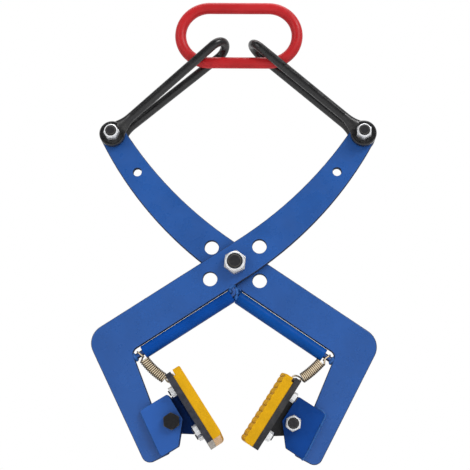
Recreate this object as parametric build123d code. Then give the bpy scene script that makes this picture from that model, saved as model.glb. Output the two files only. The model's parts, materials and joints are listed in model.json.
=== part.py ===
from build123d import *
import math
import os

# Stone lifting clamp: two crossed arms hang by hairpin links from an oblong ring and carry swivelling pads.
# Millimetres, Z up, X across the jaws, Y along the pivot bolt, front towards -Y.
# The origin is the crane hook's seat, inside the top of the lifting ring.

# Lifting ring
RING_BAR_D = 12.5
RING_INNER_LENGTH = 118.0
RING_INNER_HEIGHT = 52.0

# Arm plates: the upper arm is curved, the lower band is straight and the leg tapers to its toe
ARM_T = 8.0
ARM_W = 40.0
ARM_SLOPE = 33.5
ARM_END_R = 14.0
ARM_PIN_X = 137.4
ARM_PIN_Z = 143.4
INNER_CURVE_START = 15.0
OUTER_CURVE_START = 0.0
ARM_EDGE_BREAK = 0.8
BAND_LENGTH = 175.0
CORNER_R = 20.0
CROOK_R = 7.0
LEG_LEAN = 27.0
LEG_LENGTH = 149.6
LEG_TOE_W = 28.0
TOE_OUTER_R = 9.0
TOE_INNER_R = 3.0
SPARE_HOLE_D = 15.5
SPARE_HOLE_PITCH = 31.7
SMALL_HOLE_D = 9.5
SMALL_HOLE_BACK = 50.5

# Fasteners
PIVOT_D = 14.0
PIVOT_AF = 22.0
HINGE_D = 10.0
HINGE_AF = 16.0
HINGE_NUT_AF = 15.3
STUD_D = 6.0
STUD_AF = 10.0
STUD_NUT_T = 5.0
RUNNING_GAP = 0.05
PIVOT_WASHER_T = 1.0
PIVOT_WASHER_D = 28.0
BOLT_TAIL = 1.5
PIVOT_HEX_TURN = 25.0
JAW_HEX_TURN = 25.0
RIGHT_LINK_HEX_TURN = 30.0
LEFT_LINK_HEX_TURN = 5.0

# Proportions of standard hexagon bolts and lock nuts, to the thread or to the width across flats
HEX_CORNER_RATIO = 0.58
HEX_BREAK_RISE_RATIO = 0.05
HEX_BREAK_REACH_RATIO = 0.085
HEAD_RATIO = 0.63
THREAD_BREAK_RATIO = 0.06
NUT_RATIO = 1.0
NUT_HEX_RATIO = 0.66
COLLAR_RATIO = 0.475
COLLAR_BREAK_RATIO = 0.08

# Hairpin links
LINK_ROD_D = 10.0
LINK_LENGTH = 161.5
LINK_CROWN_X = 15.6
LINK_SIDE_GAP = 1.9
LINK_CROWN_Y = 1.2
LINK_SLACK = 10.2
LINK_EYE_D = 28.0
LINK_EYE_T = 8.0
LINK_EYE_GAP = 0.5
LINK_EYE_BREAK = 1.2
LINK_NECK = 28.0
LINK_SPLAY = 3.5
LEFT_LINK_FOOT_TWIST = -3.0
LEFT_LINK_CROWN_TWIST = -16.0
NECK_LAP = 5.6
NECK_SHOULDER = 3.4
NECK_INSET = 0.15
NECK_FLARE = 9.5
NECK_FLARE_W = 1.4
NECK_FLARE_T = 0.3

# Cheek plates beside each leg
CHEEK_T = 6.0
CHEEK_TOP = 26.5
CHEEK_FOOT = 25.5
CHEEK_NOSE = 11.0
CHEEK_TAIL_TOP = 23.0
CHEEK_TAIL_FOOT = 28.0
CHEEK_CUT_Z = -4.0
CHEEK_CUT_X = -7.0
CHEEK_ROUND = 3.0

# Swivelling pads, whose lugs are loose on the jaw bolts: each hangs a little swung, turned and rolled
JAW_TILT = 32.0
LEFT_PAD_SWING = 1.4
LEFT_PAD_TURN = 2.5
LEFT_PAD_ROLL = -7.0
LEFT_PAD_DROP = 0.8
RIGHT_PAD_SWING = 0.0
RIGHT_PAD_TURN = 6.6
RIGHT_PAD_ROLL = 0.0
RIGHT_PAD_DROP = 1.2
PAD_STANDOFF = 18.8
PAD_LENGTH = 84.0
PAD_W = 50.0
CARRIER_T = 3.5
BACKING_T = 3.0
GRIP_T = 11.3
GRIP_OVERHANG = 0.5
GRIP_RIBS = 11
GRIP_RIB_PITCH = 7.2
GRIP_RIB_H = 1.5
GRIP_RIM = 4.0
GRIP_TOP_ROUND = 1.8
GRIP_FOOT_ROUND = 4.5
STUD_SPACING_Z = 47.0
STUD_SPACING_Y = 38.0
JAW_HEIGHT = 28.4
LUG_EYE_R = 12.0
LUG_SIDE_GAP = 0.35
LUG_BOLT_GAP = 0.35
LUG_LEG_GAP = 1.5
LUG_BASE = 52.0
LUG_LAND = 1.0
LUG_DROP = 1.0
LUG_FREE_TURN = 6.6

# Guard rods and their hose sleeves
ROD_D = 6.0
ROD_BEND_R = 4.0
ROD_TOP = 17.0
HOSE_D = 14.0
HOSE_BORE_GAP = 0.2
HOSE_ARM_GAP = 0.4
HOSE_TOP = 22.3
HOSE_END = 131.0

# Extension springs
SPRING_WIRE_D = 1.2
SPRING_COIL_R = 4.9
SPRING_PITCH = 2.3
SPRING_HOOK_T = 5.5
SPRING_SHANK = 1.2
SPRING_FOOT_HOOK = 5.8
SPRING_FOOT_R = 4.6
SPRING_EYE_D = 4.0
SPRING_EYE_DROP = 4.0
SPRING_ROD_GAP = 0.4
SPRING_HOSE_GAP = 0.4
SPRING_RELIEF = 2.8
SPRING_TOP_TIP = 140.0
SPRING_FOOT_TIP = 130.0
WIRE_SIDES = 4

# Places that follow from the sizes above
ARM_Y = (ARM_T + PIVOT_WASHER_T) / 2
RING_LOW_Z = -RING_INNER_HEIGHT - RING_BAR_D / 2
LINK_BEND_R = RING_BAR_D / 2 + LINK_SIDE_GAP + LINK_ROD_D / 2
LINK_RISE = math.sqrt(LINK_LENGTH**2 - (ARM_PIN_X - LINK_CROWN_X) ** 2)
CROWN_Z = RING_LOW_Z + RING_BAR_D / 2 + LINK_SLACK + LINK_ROD_D / 2
PIVOT_Z = CROWN_Z - LINK_RISE - ARM_PIN_Z
GRIP_BACK = PAD_STANDOFF + CARRIER_T + BACKING_T
GRIP_FACE = GRIP_BACK + GRIP_T
PLATE_TOP = PAD_LENGTH / 2 - GRIP_OVERHANG
ROD_OFFSET = ARM_W / 2 + HOSE_ARM_GAP + HOSE_D / 2
EYE_MID_Y = ARM_T / 2 + LINK_EYE_GAP + LINK_EYE_T / 2

# Directions of the front arm in the X-Z plane: up along the arm, and across it
ALONG = Vector(math.cos(math.radians(ARM_SLOPE)), math.sin(math.radians(ARM_SLOPE)))
ACROSS = Vector(-ALONG.Y, ALONG.X)
# Down the leg, and square to the leg towards the jaws
DOWN_LEG = Vector(math.sin(math.radians(LEG_LEAN)), -math.cos(math.radians(LEG_LEAN)))
INWARD = Vector(-DOWN_LEG.Y, DOWN_LEG.X)


def band_point(distance, offset):
    """Gives the point at a distance down the lower band and an offset across it, from the pivot."""
    return ACROSS * offset - ALONG * distance


def crossing(point, direction, start, end):
    """Gives the point where a line through a point meets the line from start to end."""
    run = end - start
    normal = Vector(-run.Y, run.X)
    return point + direction * ((start - point).dot(normal) / direction.dot(normal))


LEG_CORNER = band_point(BAND_LENGTH, ARM_W / 2)
TOE = LEG_CORNER + DOWN_LEG * LEG_LENGTH
TOE_INNER = TOE + INWARD * LEG_TOE_W
LEG_INNER_TOP = LEG_CORNER + INWARD * ARM_W
CROOK = crossing(band_point(0, -ARM_W / 2), ALONG, TOE_INNER, LEG_INNER_TOP)
JAW_LEVEL = crossing(TOE - DOWN_LEG * JAW_HEIGHT, INWARD, TOE_INNER, LEG_INNER_TOP)
JAW = JAW_LEVEL + INWARD * (LUG_EYE_R + LUG_LEG_GAP)
JAW_FRAME = Pos(JAW.X, -ARM_Y, PIVOT_Z + JAW.Y) * Rot(0, -JAW_TILT, 0)
HALF_TURN = Rot(0, 0, 180)
# The two lugs, and the plates on them; the right ones are laid out at the left jaw, before their half turn
LEFT_LUG = JAW_FRAME * Rot(0, -LEFT_PAD_SWING, 0) * Rot(0, 0, LEFT_PAD_TURN)
RIGHT_LUG = JAW_FRAME * Rot(0, -RIGHT_PAD_SWING, 0) * Rot(0, 0, RIGHT_PAD_TURN)
LEFT_PLATES = LEFT_LUG * Pos(0, 0, -LEFT_PAD_DROP) * Rot(LEFT_PAD_ROLL, 0, 0)
RIGHT_PLATES = RIGHT_LUG * Pos(0, 0, -RIGHT_PAD_DROP) * Rot(RIGHT_PAD_ROLL, 0, 0)


def slab(outline, near, far):
    """Thickens an outline drawn in X and Z from the near to the far place along Y."""
    return Pos(0, far, 0) * extrude(Plane.XZ * outline, amount=far - near)


def rounded(outline, corner, radius):
    """Rounds the corner of an outline that lies nearest to a point."""
    nearest = outline.vertices().sort_by_distance(corner)[0]
    return fillet(nearest, radius)


def hexagon(across_flats, height):
    """Makes a hexagon standing on Z = 0 whose top corners are turned down."""
    prism = extrude(RegularPolygon(across_flats / 2, 6, major_radius=False), amount=height)
    turned = Cylinder(across_flats * HEX_CORNER_RATIO, height, align=(Align.CENTER, Align.CENTER, Align.MIN))
    top = turned.edges().sort_by(Axis.Z)[-1]
    turned = chamfer(top, across_flats * HEX_BREAK_RISE_RATIO, across_flats * HEX_BREAK_REACH_RATIO)
    return prism & turned


def hex_bolt(diameter, across_flats, grip):
    """Makes a bolt whose head is under Z = 0 and whose shank passes through the grip and the nut."""
    length = grip + diameter * NUT_RATIO + BOLT_TAIL
    shank = Cylinder(diameter / 2, length, align=(Align.CENTER, Align.CENTER, Align.MIN))
    shank = chamfer(shank.edges().sort_by(Axis.Z)[-1], diameter * THREAD_BREAK_RATIO)
    return shank + Rot(180, 0, 0) * hexagon(across_flats, diameter * HEAD_RATIO)


def lock_nut(diameter, across_flats):
    """Makes a lock nut standing on Z = 0: a hexagon below a round collar."""
    height = diameter * NUT_RATIO
    collar = Cylinder(across_flats * COLLAR_RATIO, height, align=(Align.CENTER, Align.CENTER, Align.MIN))
    collar = chamfer(collar.edges().sort_by(Axis.Z)[-1], diameter * COLLAR_BREAK_RATIO)
    bore = Cylinder(diameter / 2 + RUNNING_GAP, height * 3)
    return hexagon(across_flats, height * NUT_HEX_RATIO) + collar - bore


def lifting_ring():
    """Bends round bar into the oblong ring."""
    end_r = (RING_INNER_HEIGHT + RING_BAR_D) / 2
    straight = (RING_INNER_LENGTH - RING_INNER_HEIGHT) / 2
    loop = Plane.XZ * SlotCenterToCenter(2 * straight, 2 * end_r).wire()
    start = Plane(origin=loop @ 0, z_dir=loop % 0)
    bar = sweep(start * Circle(RING_BAR_D / 2), path=loop)
    return Pos(0, 0, -RING_INNER_HEIGHT / 2) * bar


def twisted(point, middle, degrees):
    """Turns a point of a link about the link's length, through a middle place in Y."""
    return Vector(point.X, middle) + Vector(0, point.Y - middle).rotate(Axis.X, degrees)


def hairpin_link(foot_twist, crown_twist):
    """Forges a link at the right arm: two eyes and a rod bent over the ring's lower bar, twisted or flat."""
    run = Vector(LINK_CROWN_X - ARM_PIN_X, 0, LINK_RISE).normalized()
    frame = Plane(origin=(ARM_PIN_X, 0, PIVOT_Z + ARM_PIN_Z), x_dir=run, z_dir=(-run.Z, 0, run.X))
    bend = Vector(LINK_LENGTH - LINK_BEND_R, LINK_CROWN_Y)
    legs = []
    link = Part()
    for side in (-1, 1):
        foot = Vector(LINK_NECK, side * (EYE_MID_Y + LINK_SPLAY) - ARM_Y)
        reach = bend - foot
        swing = side * math.degrees(math.asin(LINK_BEND_R / reach.length))
        heading = reach.normalized().rotate(Axis.Z, swing)
        tangent = foot + heading * math.sqrt(reach.length**2 - LINK_BEND_R**2)
        foot = twisted(foot, -ARM_Y, foot_twist)
        tangent = twisted(tangent, LINK_CROWN_Y, crown_twist)
        heading = (tangent - foot).normalized()
        legs.append((foot, tangent, heading))
        link += link_eye(side * EYE_MID_Y - ARM_Y, foot, heading)
    (foot_a, end_a, heading_a), (foot_b, end_b, heading_b) = legs
    crown = Vector(LINK_LENGTH, LINK_CROWN_Y)
    over = Vector(0, 1).rotate(Axis.X, crown_twist)
    bends = biarc(end_a, heading_a, crown, over) + biarc(crown, over, end_b, heading_b * -1)
    path = Wire([Line(foot_a, end_a)] + bends + [Line(end_b, foot_b)])
    link += sweep(Plane(origin=foot_a, x_dir=(0, 0, 1), z_dir=heading_a) * Circle(LINK_ROD_D / 2), path=path)
    pin_hole = Rot(90, 0, 0) * Cylinder(HINGE_D / 2 + RUNNING_GAP, 6 * LINK_EYE_T)
    return frame.location * (link - pin_hole)


def link_eye(eye_y, foot, heading):
    """Makes one flattened eye of a link and the neck that flares into its leg."""
    eye = Rot(90, 0, 0) * Cylinder(LINK_EYE_D / 2, LINK_EYE_T)
    eye = Pos(0, eye_y, 0) * chamfer(eye.edges().filter_by(GeomType.CIRCLE), LINK_EYE_BREAK)
    root_x = LINK_EYE_D / 2 - NECK_LAP
    waist_x = LINK_NECK - NECK_FLARE
    root = Plane(origin=(root_x, eye_y, 0), x_dir=(0, 0, 1), z_dir=(1, 0, 0))
    waist = Plane(origin=(waist_x, (eye_y + foot.Y) / 2, foot.Z / 2), x_dir=(0, 0, 1), z_dir=(1, 0, 0))
    rod = Plane(origin=foot, x_dir=(0, 0, 1), z_dir=heading)
    neck = loft([
        root * Ellipse(LINK_EYE_D / 2 - NECK_SHOULDER, LINK_EYE_T / 2 - NECK_INSET),
        waist * Ellipse(LINK_ROD_D / 2 + NECK_FLARE_W, LINK_ROD_D / 2 - NECK_FLARE_T),
        rod * Circle(LINK_ROD_D / 2),
    ])
    return eye + neck


def arm_curve(start, bow):
    """Gives the end of an upper arm edge that leaves along the arm and meets the round end smoothly."""
    pin = Vector(ARM_PIN_X, ARM_PIN_Z)
    span = start - pin
    reach = bow * ARM_END_R
    radius = (span.dot(span) - reach**2) / (2 * (reach - span.dot(ACROSS)))
    centre = start + ACROSS * radius
    return centre + (pin - centre).normalized() * radius


def arm_plate():
    """Cuts the front arm: curved upper arm, straight band, rounded corner and tapering leg."""
    inner_start = ACROSS * (ARM_W / 2) + ALONG * INNER_CURVE_START
    outer_start = ALONG * OUTER_CURVE_START - ACROSS * (ARM_W / 2)
    inner_end = arm_curve(inner_start, 1)
    outer_end = arm_curve(outer_start, -1)
    inner_curve = TangentArc(inner_start, inner_end, tangent=ALONG)
    outer_curve = TangentArc(outer_start, outer_end, tangent=ALONG)
    end_cap = TangentArc(inner_end, outer_end, tangent=inner_curve % 1)
    straights = Polyline(inner_start, LEG_CORNER, TOE, TOE_INNER, CROOK, outer_start)
    outline = make_face(Curve() + [inner_curve, end_cap, outer_curve, straights])
    outline = rounded(outline, LEG_CORNER, CORNER_R)
    outline = rounded(outline, TOE, TOE_OUTER_R)
    outline = rounded(outline, TOE_INNER, TOE_INNER_R)
    outline = rounded(outline, CROOK, CROOK_R)
    plate = Pos(0, 0, PIVOT_Z) * slab(outline, -ARM_Y - ARM_T / 2, -ARM_Y + ARM_T / 2)
    faces = plate.faces().filter_by(Axis.Y)
    plate = chamfer(faces.edges(), ARM_EDGE_BREAK)
    for place, diameter in arm_holes():
        drill = Rot(90, 0, 0) * Cylinder(diameter / 2, 3 * ARM_T)
        plate -= Pos(place.X, -ARM_Y, PIVOT_Z + place.Y) * drill
    return plate


def arm_holes():
    """Lists the places and diameters of the holes in the front arm."""
    pin = Vector(ARM_PIN_X, ARM_PIN_Z)
    middle_r = pin.dot(pin) / (2 * pin.dot(ACROSS))
    spare_turn = math.degrees(SPARE_HOLE_PITCH / middle_r)
    pin_turn = 2 * math.degrees(math.asin(pin.length / 2 / middle_r))
    small_turn = pin_turn - math.degrees(SMALL_HOLE_BACK / middle_r)
    centre = ACROSS * middle_r
    return [
        (Vector(0, 0), PIVOT_D + 2 * RUNNING_GAP),
        (pin, HINGE_D + 2 * RUNNING_GAP),
        (band_point(SPARE_HOLE_PITCH, 0), SPARE_HOLE_D),
        (centre - centre.rotate(Axis.Z, spare_turn), SPARE_HOLE_D),
        (centre - centre.rotate(Axis.Z, small_turn), SMALL_HOLE_D),
    ]


def cheek(side):
    """Cuts one cheek plate of the left jaw, welded to the outer (-1) or inner (1) face of the leg."""
    corners = [
        Vector(CHEEK_NOSE, CHEEK_TOP),
        Vector(-CHEEK_TAIL_TOP, CHEEK_TOP),
        Vector(-CHEEK_TAIL_FOOT, -CHEEK_FOOT),
        Vector(CHEEK_CUT_X, -CHEEK_FOOT),
        Vector(CHEEK_NOSE, CHEEK_CUT_Z),
    ]
    outline = make_face(Polyline(*corners, close=True))
    for corner in corners:
        outline = rounded(outline, corner, CHEEK_ROUND)
    outline -= Circle(HINGE_D / 2 + RUNNING_GAP)
    near = ARM_T / 2 if side > 0 else -ARM_T / 2 - CHEEK_T
    return JAW_FRAME * slab(outline, near, near + CHEEK_T)


def pad_lug():
    """Cuts the tongue that swivels on the jaw bolt, thin enough to stay clear of the cheeks when turned."""
    sine = math.sin(math.radians(LUG_FREE_TURN))
    cosine = math.cos(math.radians(LUG_FREE_TURN))
    half = (ARM_T / 2 - LUG_SIDE_GAP - LUG_EYE_R * sine) / cosine
    hole_r = (HINGE_D / 2 + LUG_BOLT_GAP + half * sine) / cosine
    base = Pos(PAD_STANDOFF, -LUG_DROP) * Rectangle(LUG_LAND, LUG_BASE, align=(Align.MAX, Align.CENTER))
    outline = make_hull(Circle(LUG_EYE_R).edges() + base.edges()) - Circle(hole_r)
    return slab(outline, -half, half)


def stud_places():
    """Lists the Y and Z places of the four studs on a pad."""
    return [(y * STUD_SPACING_Y / 2, z * STUD_SPACING_Z / 2) for y in (-1, 1) for z in (-1, 1)]


def pad_plate(back, thickness):
    """Cuts one of the pad's two steel plates, with the spring's eye hole, in the pad's frame."""
    length = PLATE_TOP + PAD_LENGTH / 2
    plate = Box(thickness, PAD_W, length, align=(Align.MIN, Align.CENTER, Align.MAX))
    plate = Pos(back, 0, PLATE_TOP) * plate
    eye = Rot(0, 90, 0) * Cylinder(SPRING_EYE_D / 2, 4 * thickness)
    return plate - Pos(back, 0, PLATE_TOP - SPRING_EYE_DROP) * eye


def pad_carrier():
    """Drills the carrier plate for the four studs."""
    plate = pad_plate(PAD_STANDOFF, CARRIER_T)
    for y, z in stud_places():
        plate -= Pos(PAD_STANDOFF, y, z) * Rot(0, 90, 0) * Cylinder(STUD_D / 2 + RUNNING_GAP, 4 * CARRIER_T)
    return plate


def pad_backing():
    """Welds the four studs on the back of the grip block's plate."""
    back = PAD_STANDOFF + CARRIER_T
    plate = pad_plate(back, BACKING_T)
    length = CARRIER_T + STUD_NUT_T + BOLT_TAIL
    for y, z in stud_places():
        stud = Cylinder(STUD_D / 2, length, align=(Align.CENTER, Align.CENTER, Align.MIN))
        plate += Pos(back, y, z) * Rot(0, -90, 0) * stud
    return plate


def pad_nuts(plates):
    """Makes the four nuts behind a pad's carrier, placed with the pad's plates."""
    hexagonal = RegularPolygon(STUD_AF / 2, 6, major_radius=False)
    nut = extrude(hexagonal - Circle(STUD_D / 2 + RUNNING_GAP), amount=STUD_NUT_T)
    nuts = []
    for y, z in stud_places():
        nuts.append(plates * Pos(PAD_STANDOFF, y, z) * Rot(0, -90, 0) * nut)
    return Compound(children=nuts)


def grip_block(rim):
    """Moulds the grip block: ribs up to a plain land, a rim of a given width and the hook's relief."""
    middle = (GRIP_BACK + GRIP_FACE) / 2
    outline = Pos(middle, 0) * Rectangle(GRIP_T, PAD_LENGTH)
    outline = rounded(outline, Vector(GRIP_FACE, PAD_LENGTH / 2), GRIP_TOP_ROUND)
    outline = rounded(outline, Vector(GRIP_FACE, -PAD_LENGTH / 2), GRIP_FOOT_ROUND)
    rib_r = (GRIP_RIB_PITCH**2 / 4 + GRIP_RIB_H**2) / (2 * GRIP_RIB_H)
    ribs = Pos(GRIP_BACK, 0) * Rectangle(GRIP_T - GRIP_RIB_H, PAD_LENGTH, align=(Align.MIN, Align.CENTER))
    for index in range(GRIP_RIBS):
        ribs += Pos(GRIP_FACE - rib_r, (index + 0.5) * GRIP_RIB_PITCH - PAD_LENGTH / 2) * Circle(rib_r)
    land = PAD_LENGTH - GRIP_RIBS * GRIP_RIB_PITCH
    ribs += Pos(GRIP_BACK, PAD_LENGTH / 2) * Rectangle(GRIP_T, land, align=(Align.MIN, Align.MAX))
    block = slab(outline & ribs, rim - PAD_W / 2, PAD_W / 2)
    if rim:
        block += slab(outline, -PAD_W / 2, rim - PAD_W / 2)
    depth = GRIP_OVERHANG + SPRING_EYE_DROP + SPRING_EYE_D / 2
    relief = Pos(GRIP_BACK, 0, PAD_LENGTH / 2) * Box(2 * SPRING_RELIEF, 2 * PAD_W, 2 * depth)
    return block - relief


def guard_rod(plate):
    """Bends the left guard rod, from the foot of the band's edge near the pivot to the leg's inner edge."""
    leg_end = crossing(band_point(0, -ROD_OFFSET), ALONG, TOE_INNER, LEG_INNER_TOP) - ALONG * ROD_D
    bend_start = band_point(ROD_TOP + ROD_BEND_R, -ROD_OFFSET)
    bend_end = band_point(ROD_TOP, ROD_BEND_R - ROD_OFFSET)
    seat = band_point(ROD_TOP, -ARM_W / 2)
    bend = TangentArc(bend_start, bend_end, tangent=ALONG)
    path = Wire([Line(leg_end, bend_start), bend, Line(bend_end, seat)])
    rod = sweep(Plane(origin=leg_end, z_dir=ALONG) * Circle(ROD_D / 2), path=path)
    return Pos(0, -ARM_Y, PIVOT_Z) * Rot(90, 0, 0) * rod - plate


def hose_sleeve():
    """Cuts the hose sleeve on the left guard rod."""
    top = band_point(HOSE_TOP, -ROD_OFFSET)
    ring = Circle(HOSE_D / 2) - Circle(ROD_D / 2 + HOSE_BORE_GAP)
    hose = extrude(Plane(origin=top, z_dir=-ALONG) * ring, amount=HOSE_END - HOSE_TOP)
    return Pos(0, -ARM_Y, PIVOT_Z) * Rot(90, 0, 0) * hose


def biarc(start, heading, end, end_heading):
    """Joins two points by two arcs that share a tangent and leave and arrive along the given headings."""
    span = end - start
    total = heading + end_heading
    spread = 2 * (1 - heading.dot(end_heading))
    lean = span.dot(total)
    reach = (math.sqrt(lean**2 + spread * span.dot(span)) - lean) / spread
    first = start + heading * reach
    last = end - end_heading * reach
    middle = (first + last) * 0.5
    turn = (last - first).normalized()
    return [TangentArc(start, middle, tangent=heading), TangentArc(middle, end, tangent=turn)]


def spring_path(plates):
    """Lays out a spring's wire: a hook on the guard rod, the coils, and a hook through the pad's plates."""
    rod = band_point(HOSE_END + SPRING_HOOK_T, -ROD_OFFSET)
    rod = Vector(rod.X, -ARM_Y, PIVOT_Z + rod.Y)
    pad = Plane(plates)
    foot_eye = pad.from_local_coords(Vector((PAD_STANDOFF + GRIP_BACK) / 2, 0, PLATE_TOP))
    down = (foot_eye - rod).normalized()
    out = down.cross(Vector(0, 1, 0)).normalized()
    side = out.cross(down)
    hook_r = SPRING_COIL_R
    hook_seat = hook_r - SPRING_WIRE_D / 2 - ROD_D / 2 - SPRING_ROD_GAP
    top_centre = rod + down * hook_seat
    lean = down.dot(Vector(ALONG.X, 0, ALONG.Y))
    coil_reach = (SPRING_COIL_R + SPRING_WIRE_D / 2) * lean
    body_start = (HOSE_D / 2 + SPRING_HOSE_GAP + coil_reach) / math.sqrt(1 - lean**2)
    body_top = rod + down * body_start
    body_length = (foot_eye - body_top).dot(down) - SPRING_FOOT_HOOK
    turns = round(body_length / SPRING_PITCH)
    pitch = body_length / (turns + 0.25)

    def coil(turn):
        """Gives the place and heading on the coil after a number of turns."""
        angle = math.pi + 2 * math.pi * turn
        radial = out * math.cos(angle) + side * math.sin(angle)
        tangent = side * math.cos(angle) - out * math.sin(angle)
        place = body_top + down * (pitch * turn) + radial * SPRING_COIL_R
        return place, (tangent * (2 * math.pi * SPRING_COIL_R) + down * pitch).normalized()

    def hook(centre, up, across, radius, degrees):
        """Gives the place and heading on a hook's circle, counted from its crown."""
        angle = math.radians(degrees)
        place = centre + (up * math.cos(angle) + across * math.sin(angle)) * radius
        return place, across * math.cos(angle) - up * math.sin(angle)

    angles = (-SPRING_TOP_TIP, -SPRING_TOP_TIP / 2, 0, 90)
    stops = [hook(top_centre, -down, side, hook_r, angle) for angle in angles]
    tip, tip_heading = stops[0]
    shank_end = stops[-1][0] + down * SPRING_SHANK
    edges = [Line(tip - tip_heading * SPRING_WIRE_D, tip)]
    for (start, heading), (end, end_heading) in zip(stops, stops[1:]):
        edges += biarc(start, heading, end, end_heading)
    edges.append(Line(stops[-1][0], shank_end))
    stops = [(shank_end, down)]
    stops += [coil(half / 2) for half in range(2 * turns + 1)]
    stops.append(coil(turns + 0.25))
    for angle in (-90, 0, 90, SPRING_FOOT_TIP):
        stops.append(hook(foot_eye, -pad.z_dir, -pad.x_dir, SPRING_FOOT_R, angle))
    for (start, heading), (end, end_heading) in zip(stops, stops[1:]):
        edges += biarc(start, heading, end, end_heading)
    tip, tip_heading = stops[-1]
    edges.append(Line(tip, tip + tip_heading * SPRING_WIRE_D))
    return Wire(edges)


def wire_gap(path):
    """Measures the least gap between the turns of a spring, on points along its wire."""
    samples = 900
    step = path.length / samples
    points = [path.position_at(index / samples) for index in range(samples + 1)]
    apart = math.ceil(4 * SPRING_WIRE_D / step)
    nearest = min(
        (points[low] - points[high]).length
        for low in range(samples)
        for high in range(low + apart, samples + 1)
    )
    return nearest - SPRING_WIRE_D


def spring(path):
    """Winds a spring from one unbroken wire."""
    section = Plane(origin=path @ 0, z_dir=path % 0) * RegularPolygon(SPRING_WIRE_D / 2, WIRE_SIDES)
    return sweep(section, path=path, clean=False)


def bolted(diameter, flats, x, z, head_y, nut_y, turn):
    """Makes a bolt and its lock nut along Y, from both widths across flats, both seats and their turn."""
    facing = 90 if head_y > nut_y else -90
    seat = Pos(x, head_y, PIVOT_Z + z) * Rot(facing, 0, 0) * Rot(0, 0, turn)
    grip = abs(head_y - nut_y)
    head_flats, nut_flats = flats
    bolt = seat * hex_bolt(diameter, head_flats, grip)
    nut = seat * Pos(0, 0, grip) * lock_nut(diameter, nut_flats)
    return bolt, nut


def swivelling_pad(lug, plates, rim):
    """Makes one pad and its spring at the left jaw, from the places of its lug and of its plates."""
    wire = spring_path(plates)
    print(f"least gap between spring turns {wire_gap(wire):.2f} mm")
    return {
        "pad_lug": lug * pad_lug(),
        "pad_carrier": plates * pad_carrier(),
        "pad_backing": plates * pad_backing(),
        "pad_grip": plates * grip_block(rim),
        "pad_nuts": pad_nuts(plates),
        "spring": spring(wire),
    }


def clamp():
    """Gathers every piece of the clamp by name."""
    front_plate = arm_plate()
    left = {
        "outer_cheek": cheek(-1),
        "inner_cheek": cheek(1),
        "guard_rod": guard_rod(front_plate),
        "hose_sleeve": hose_sleeve(),
    }
    cheek_y = ARM_T / 2 + CHEEK_T
    hinge_flats = (HINGE_AF, HINGE_NUT_AF)
    left["jaw_bolt"], left["jaw_nut"] = bolted(
        HINGE_D, hinge_flats, JAW.X, JAW.Y, -ARM_Y - cheek_y, -ARM_Y + cheek_y, JAW_HEX_TURN
    )
    pieces = {
        "lifting_ring": lifting_ring(),
        "right_link": hairpin_link(0, 0),
        "left_link": HALF_TURN * hairpin_link(LEFT_LINK_FOOT_TWIST, LEFT_LINK_CROWN_TWIST),
        "front_arm_plate": front_plate,
        "back_arm_plate": HALF_TURN * front_plate,
    }
    arms_y = ARM_Y + ARM_T / 2
    pieces["pivot_bolt"], pieces["pivot_nut"] = bolted(
        PIVOT_D, (PIVOT_AF, PIVOT_AF), 0, 0, arms_y, -arms_y, PIVOT_HEX_TURN
    )
    washer = Circle(PIVOT_WASHER_D / 2) - Circle(PIVOT_D / 2 + RUNNING_GAP)
    washer = slab(washer, -PIVOT_WASHER_T / 2, PIVOT_WASHER_T / 2)
    pieces["pivot_washer"] = Pos(0, 0, PIVOT_Z) * washer
    eyes_y = EYE_MID_Y + LINK_EYE_T / 2
    for name, way, turn in (("right", 1, RIGHT_LINK_HEX_TURN), ("left", -1, LEFT_LINK_HEX_TURN)):
        y = -way * ARM_Y
        bolt, nut = bolted(HINGE_D, hinge_flats, way * ARM_PIN_X, ARM_PIN_Z, y + eyes_y, y - eyes_y, turn)
        pieces[f"{name}_link_bolt"] = bolt
        pieces[f"{name}_link_nut"] = nut
    for name, piece in left.items():
        pieces[f"left_{name}"] = piece
        pieces[f"right_{name}"] = HALF_TURN * piece
    for name, piece in swivelling_pad(LEFT_LUG, LEFT_PLATES, GRIP_RIM).items():
        pieces[f"left_{name}"] = piece
    for name, piece in swivelling_pad(RIGHT_LUG, RIGHT_PLATES, 0).items():
        pieces[f"right_{name}"] = HALF_TURN * piece
    return pieces


os.makedirs("parts", exist_ok=True)
for name, piece in clamp().items():
    export_step(piece, os.path.join("parts", f"{name}.step"))
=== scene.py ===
"""Dresses the stone lifting clamp: finishes, springs, grips, hoses, welds and its studio."""

import json
import logging
import math
import random
from collections.abc import Callable, Iterator
from contextlib import contextmanager
from dataclasses import dataclass, replace
from enum import Enum

import bmesh
import bpy
from bpy.types import ID, Material, Node, NodeSocket, NodeTree, Object
from mathutils import Matrix, Vector


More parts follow.
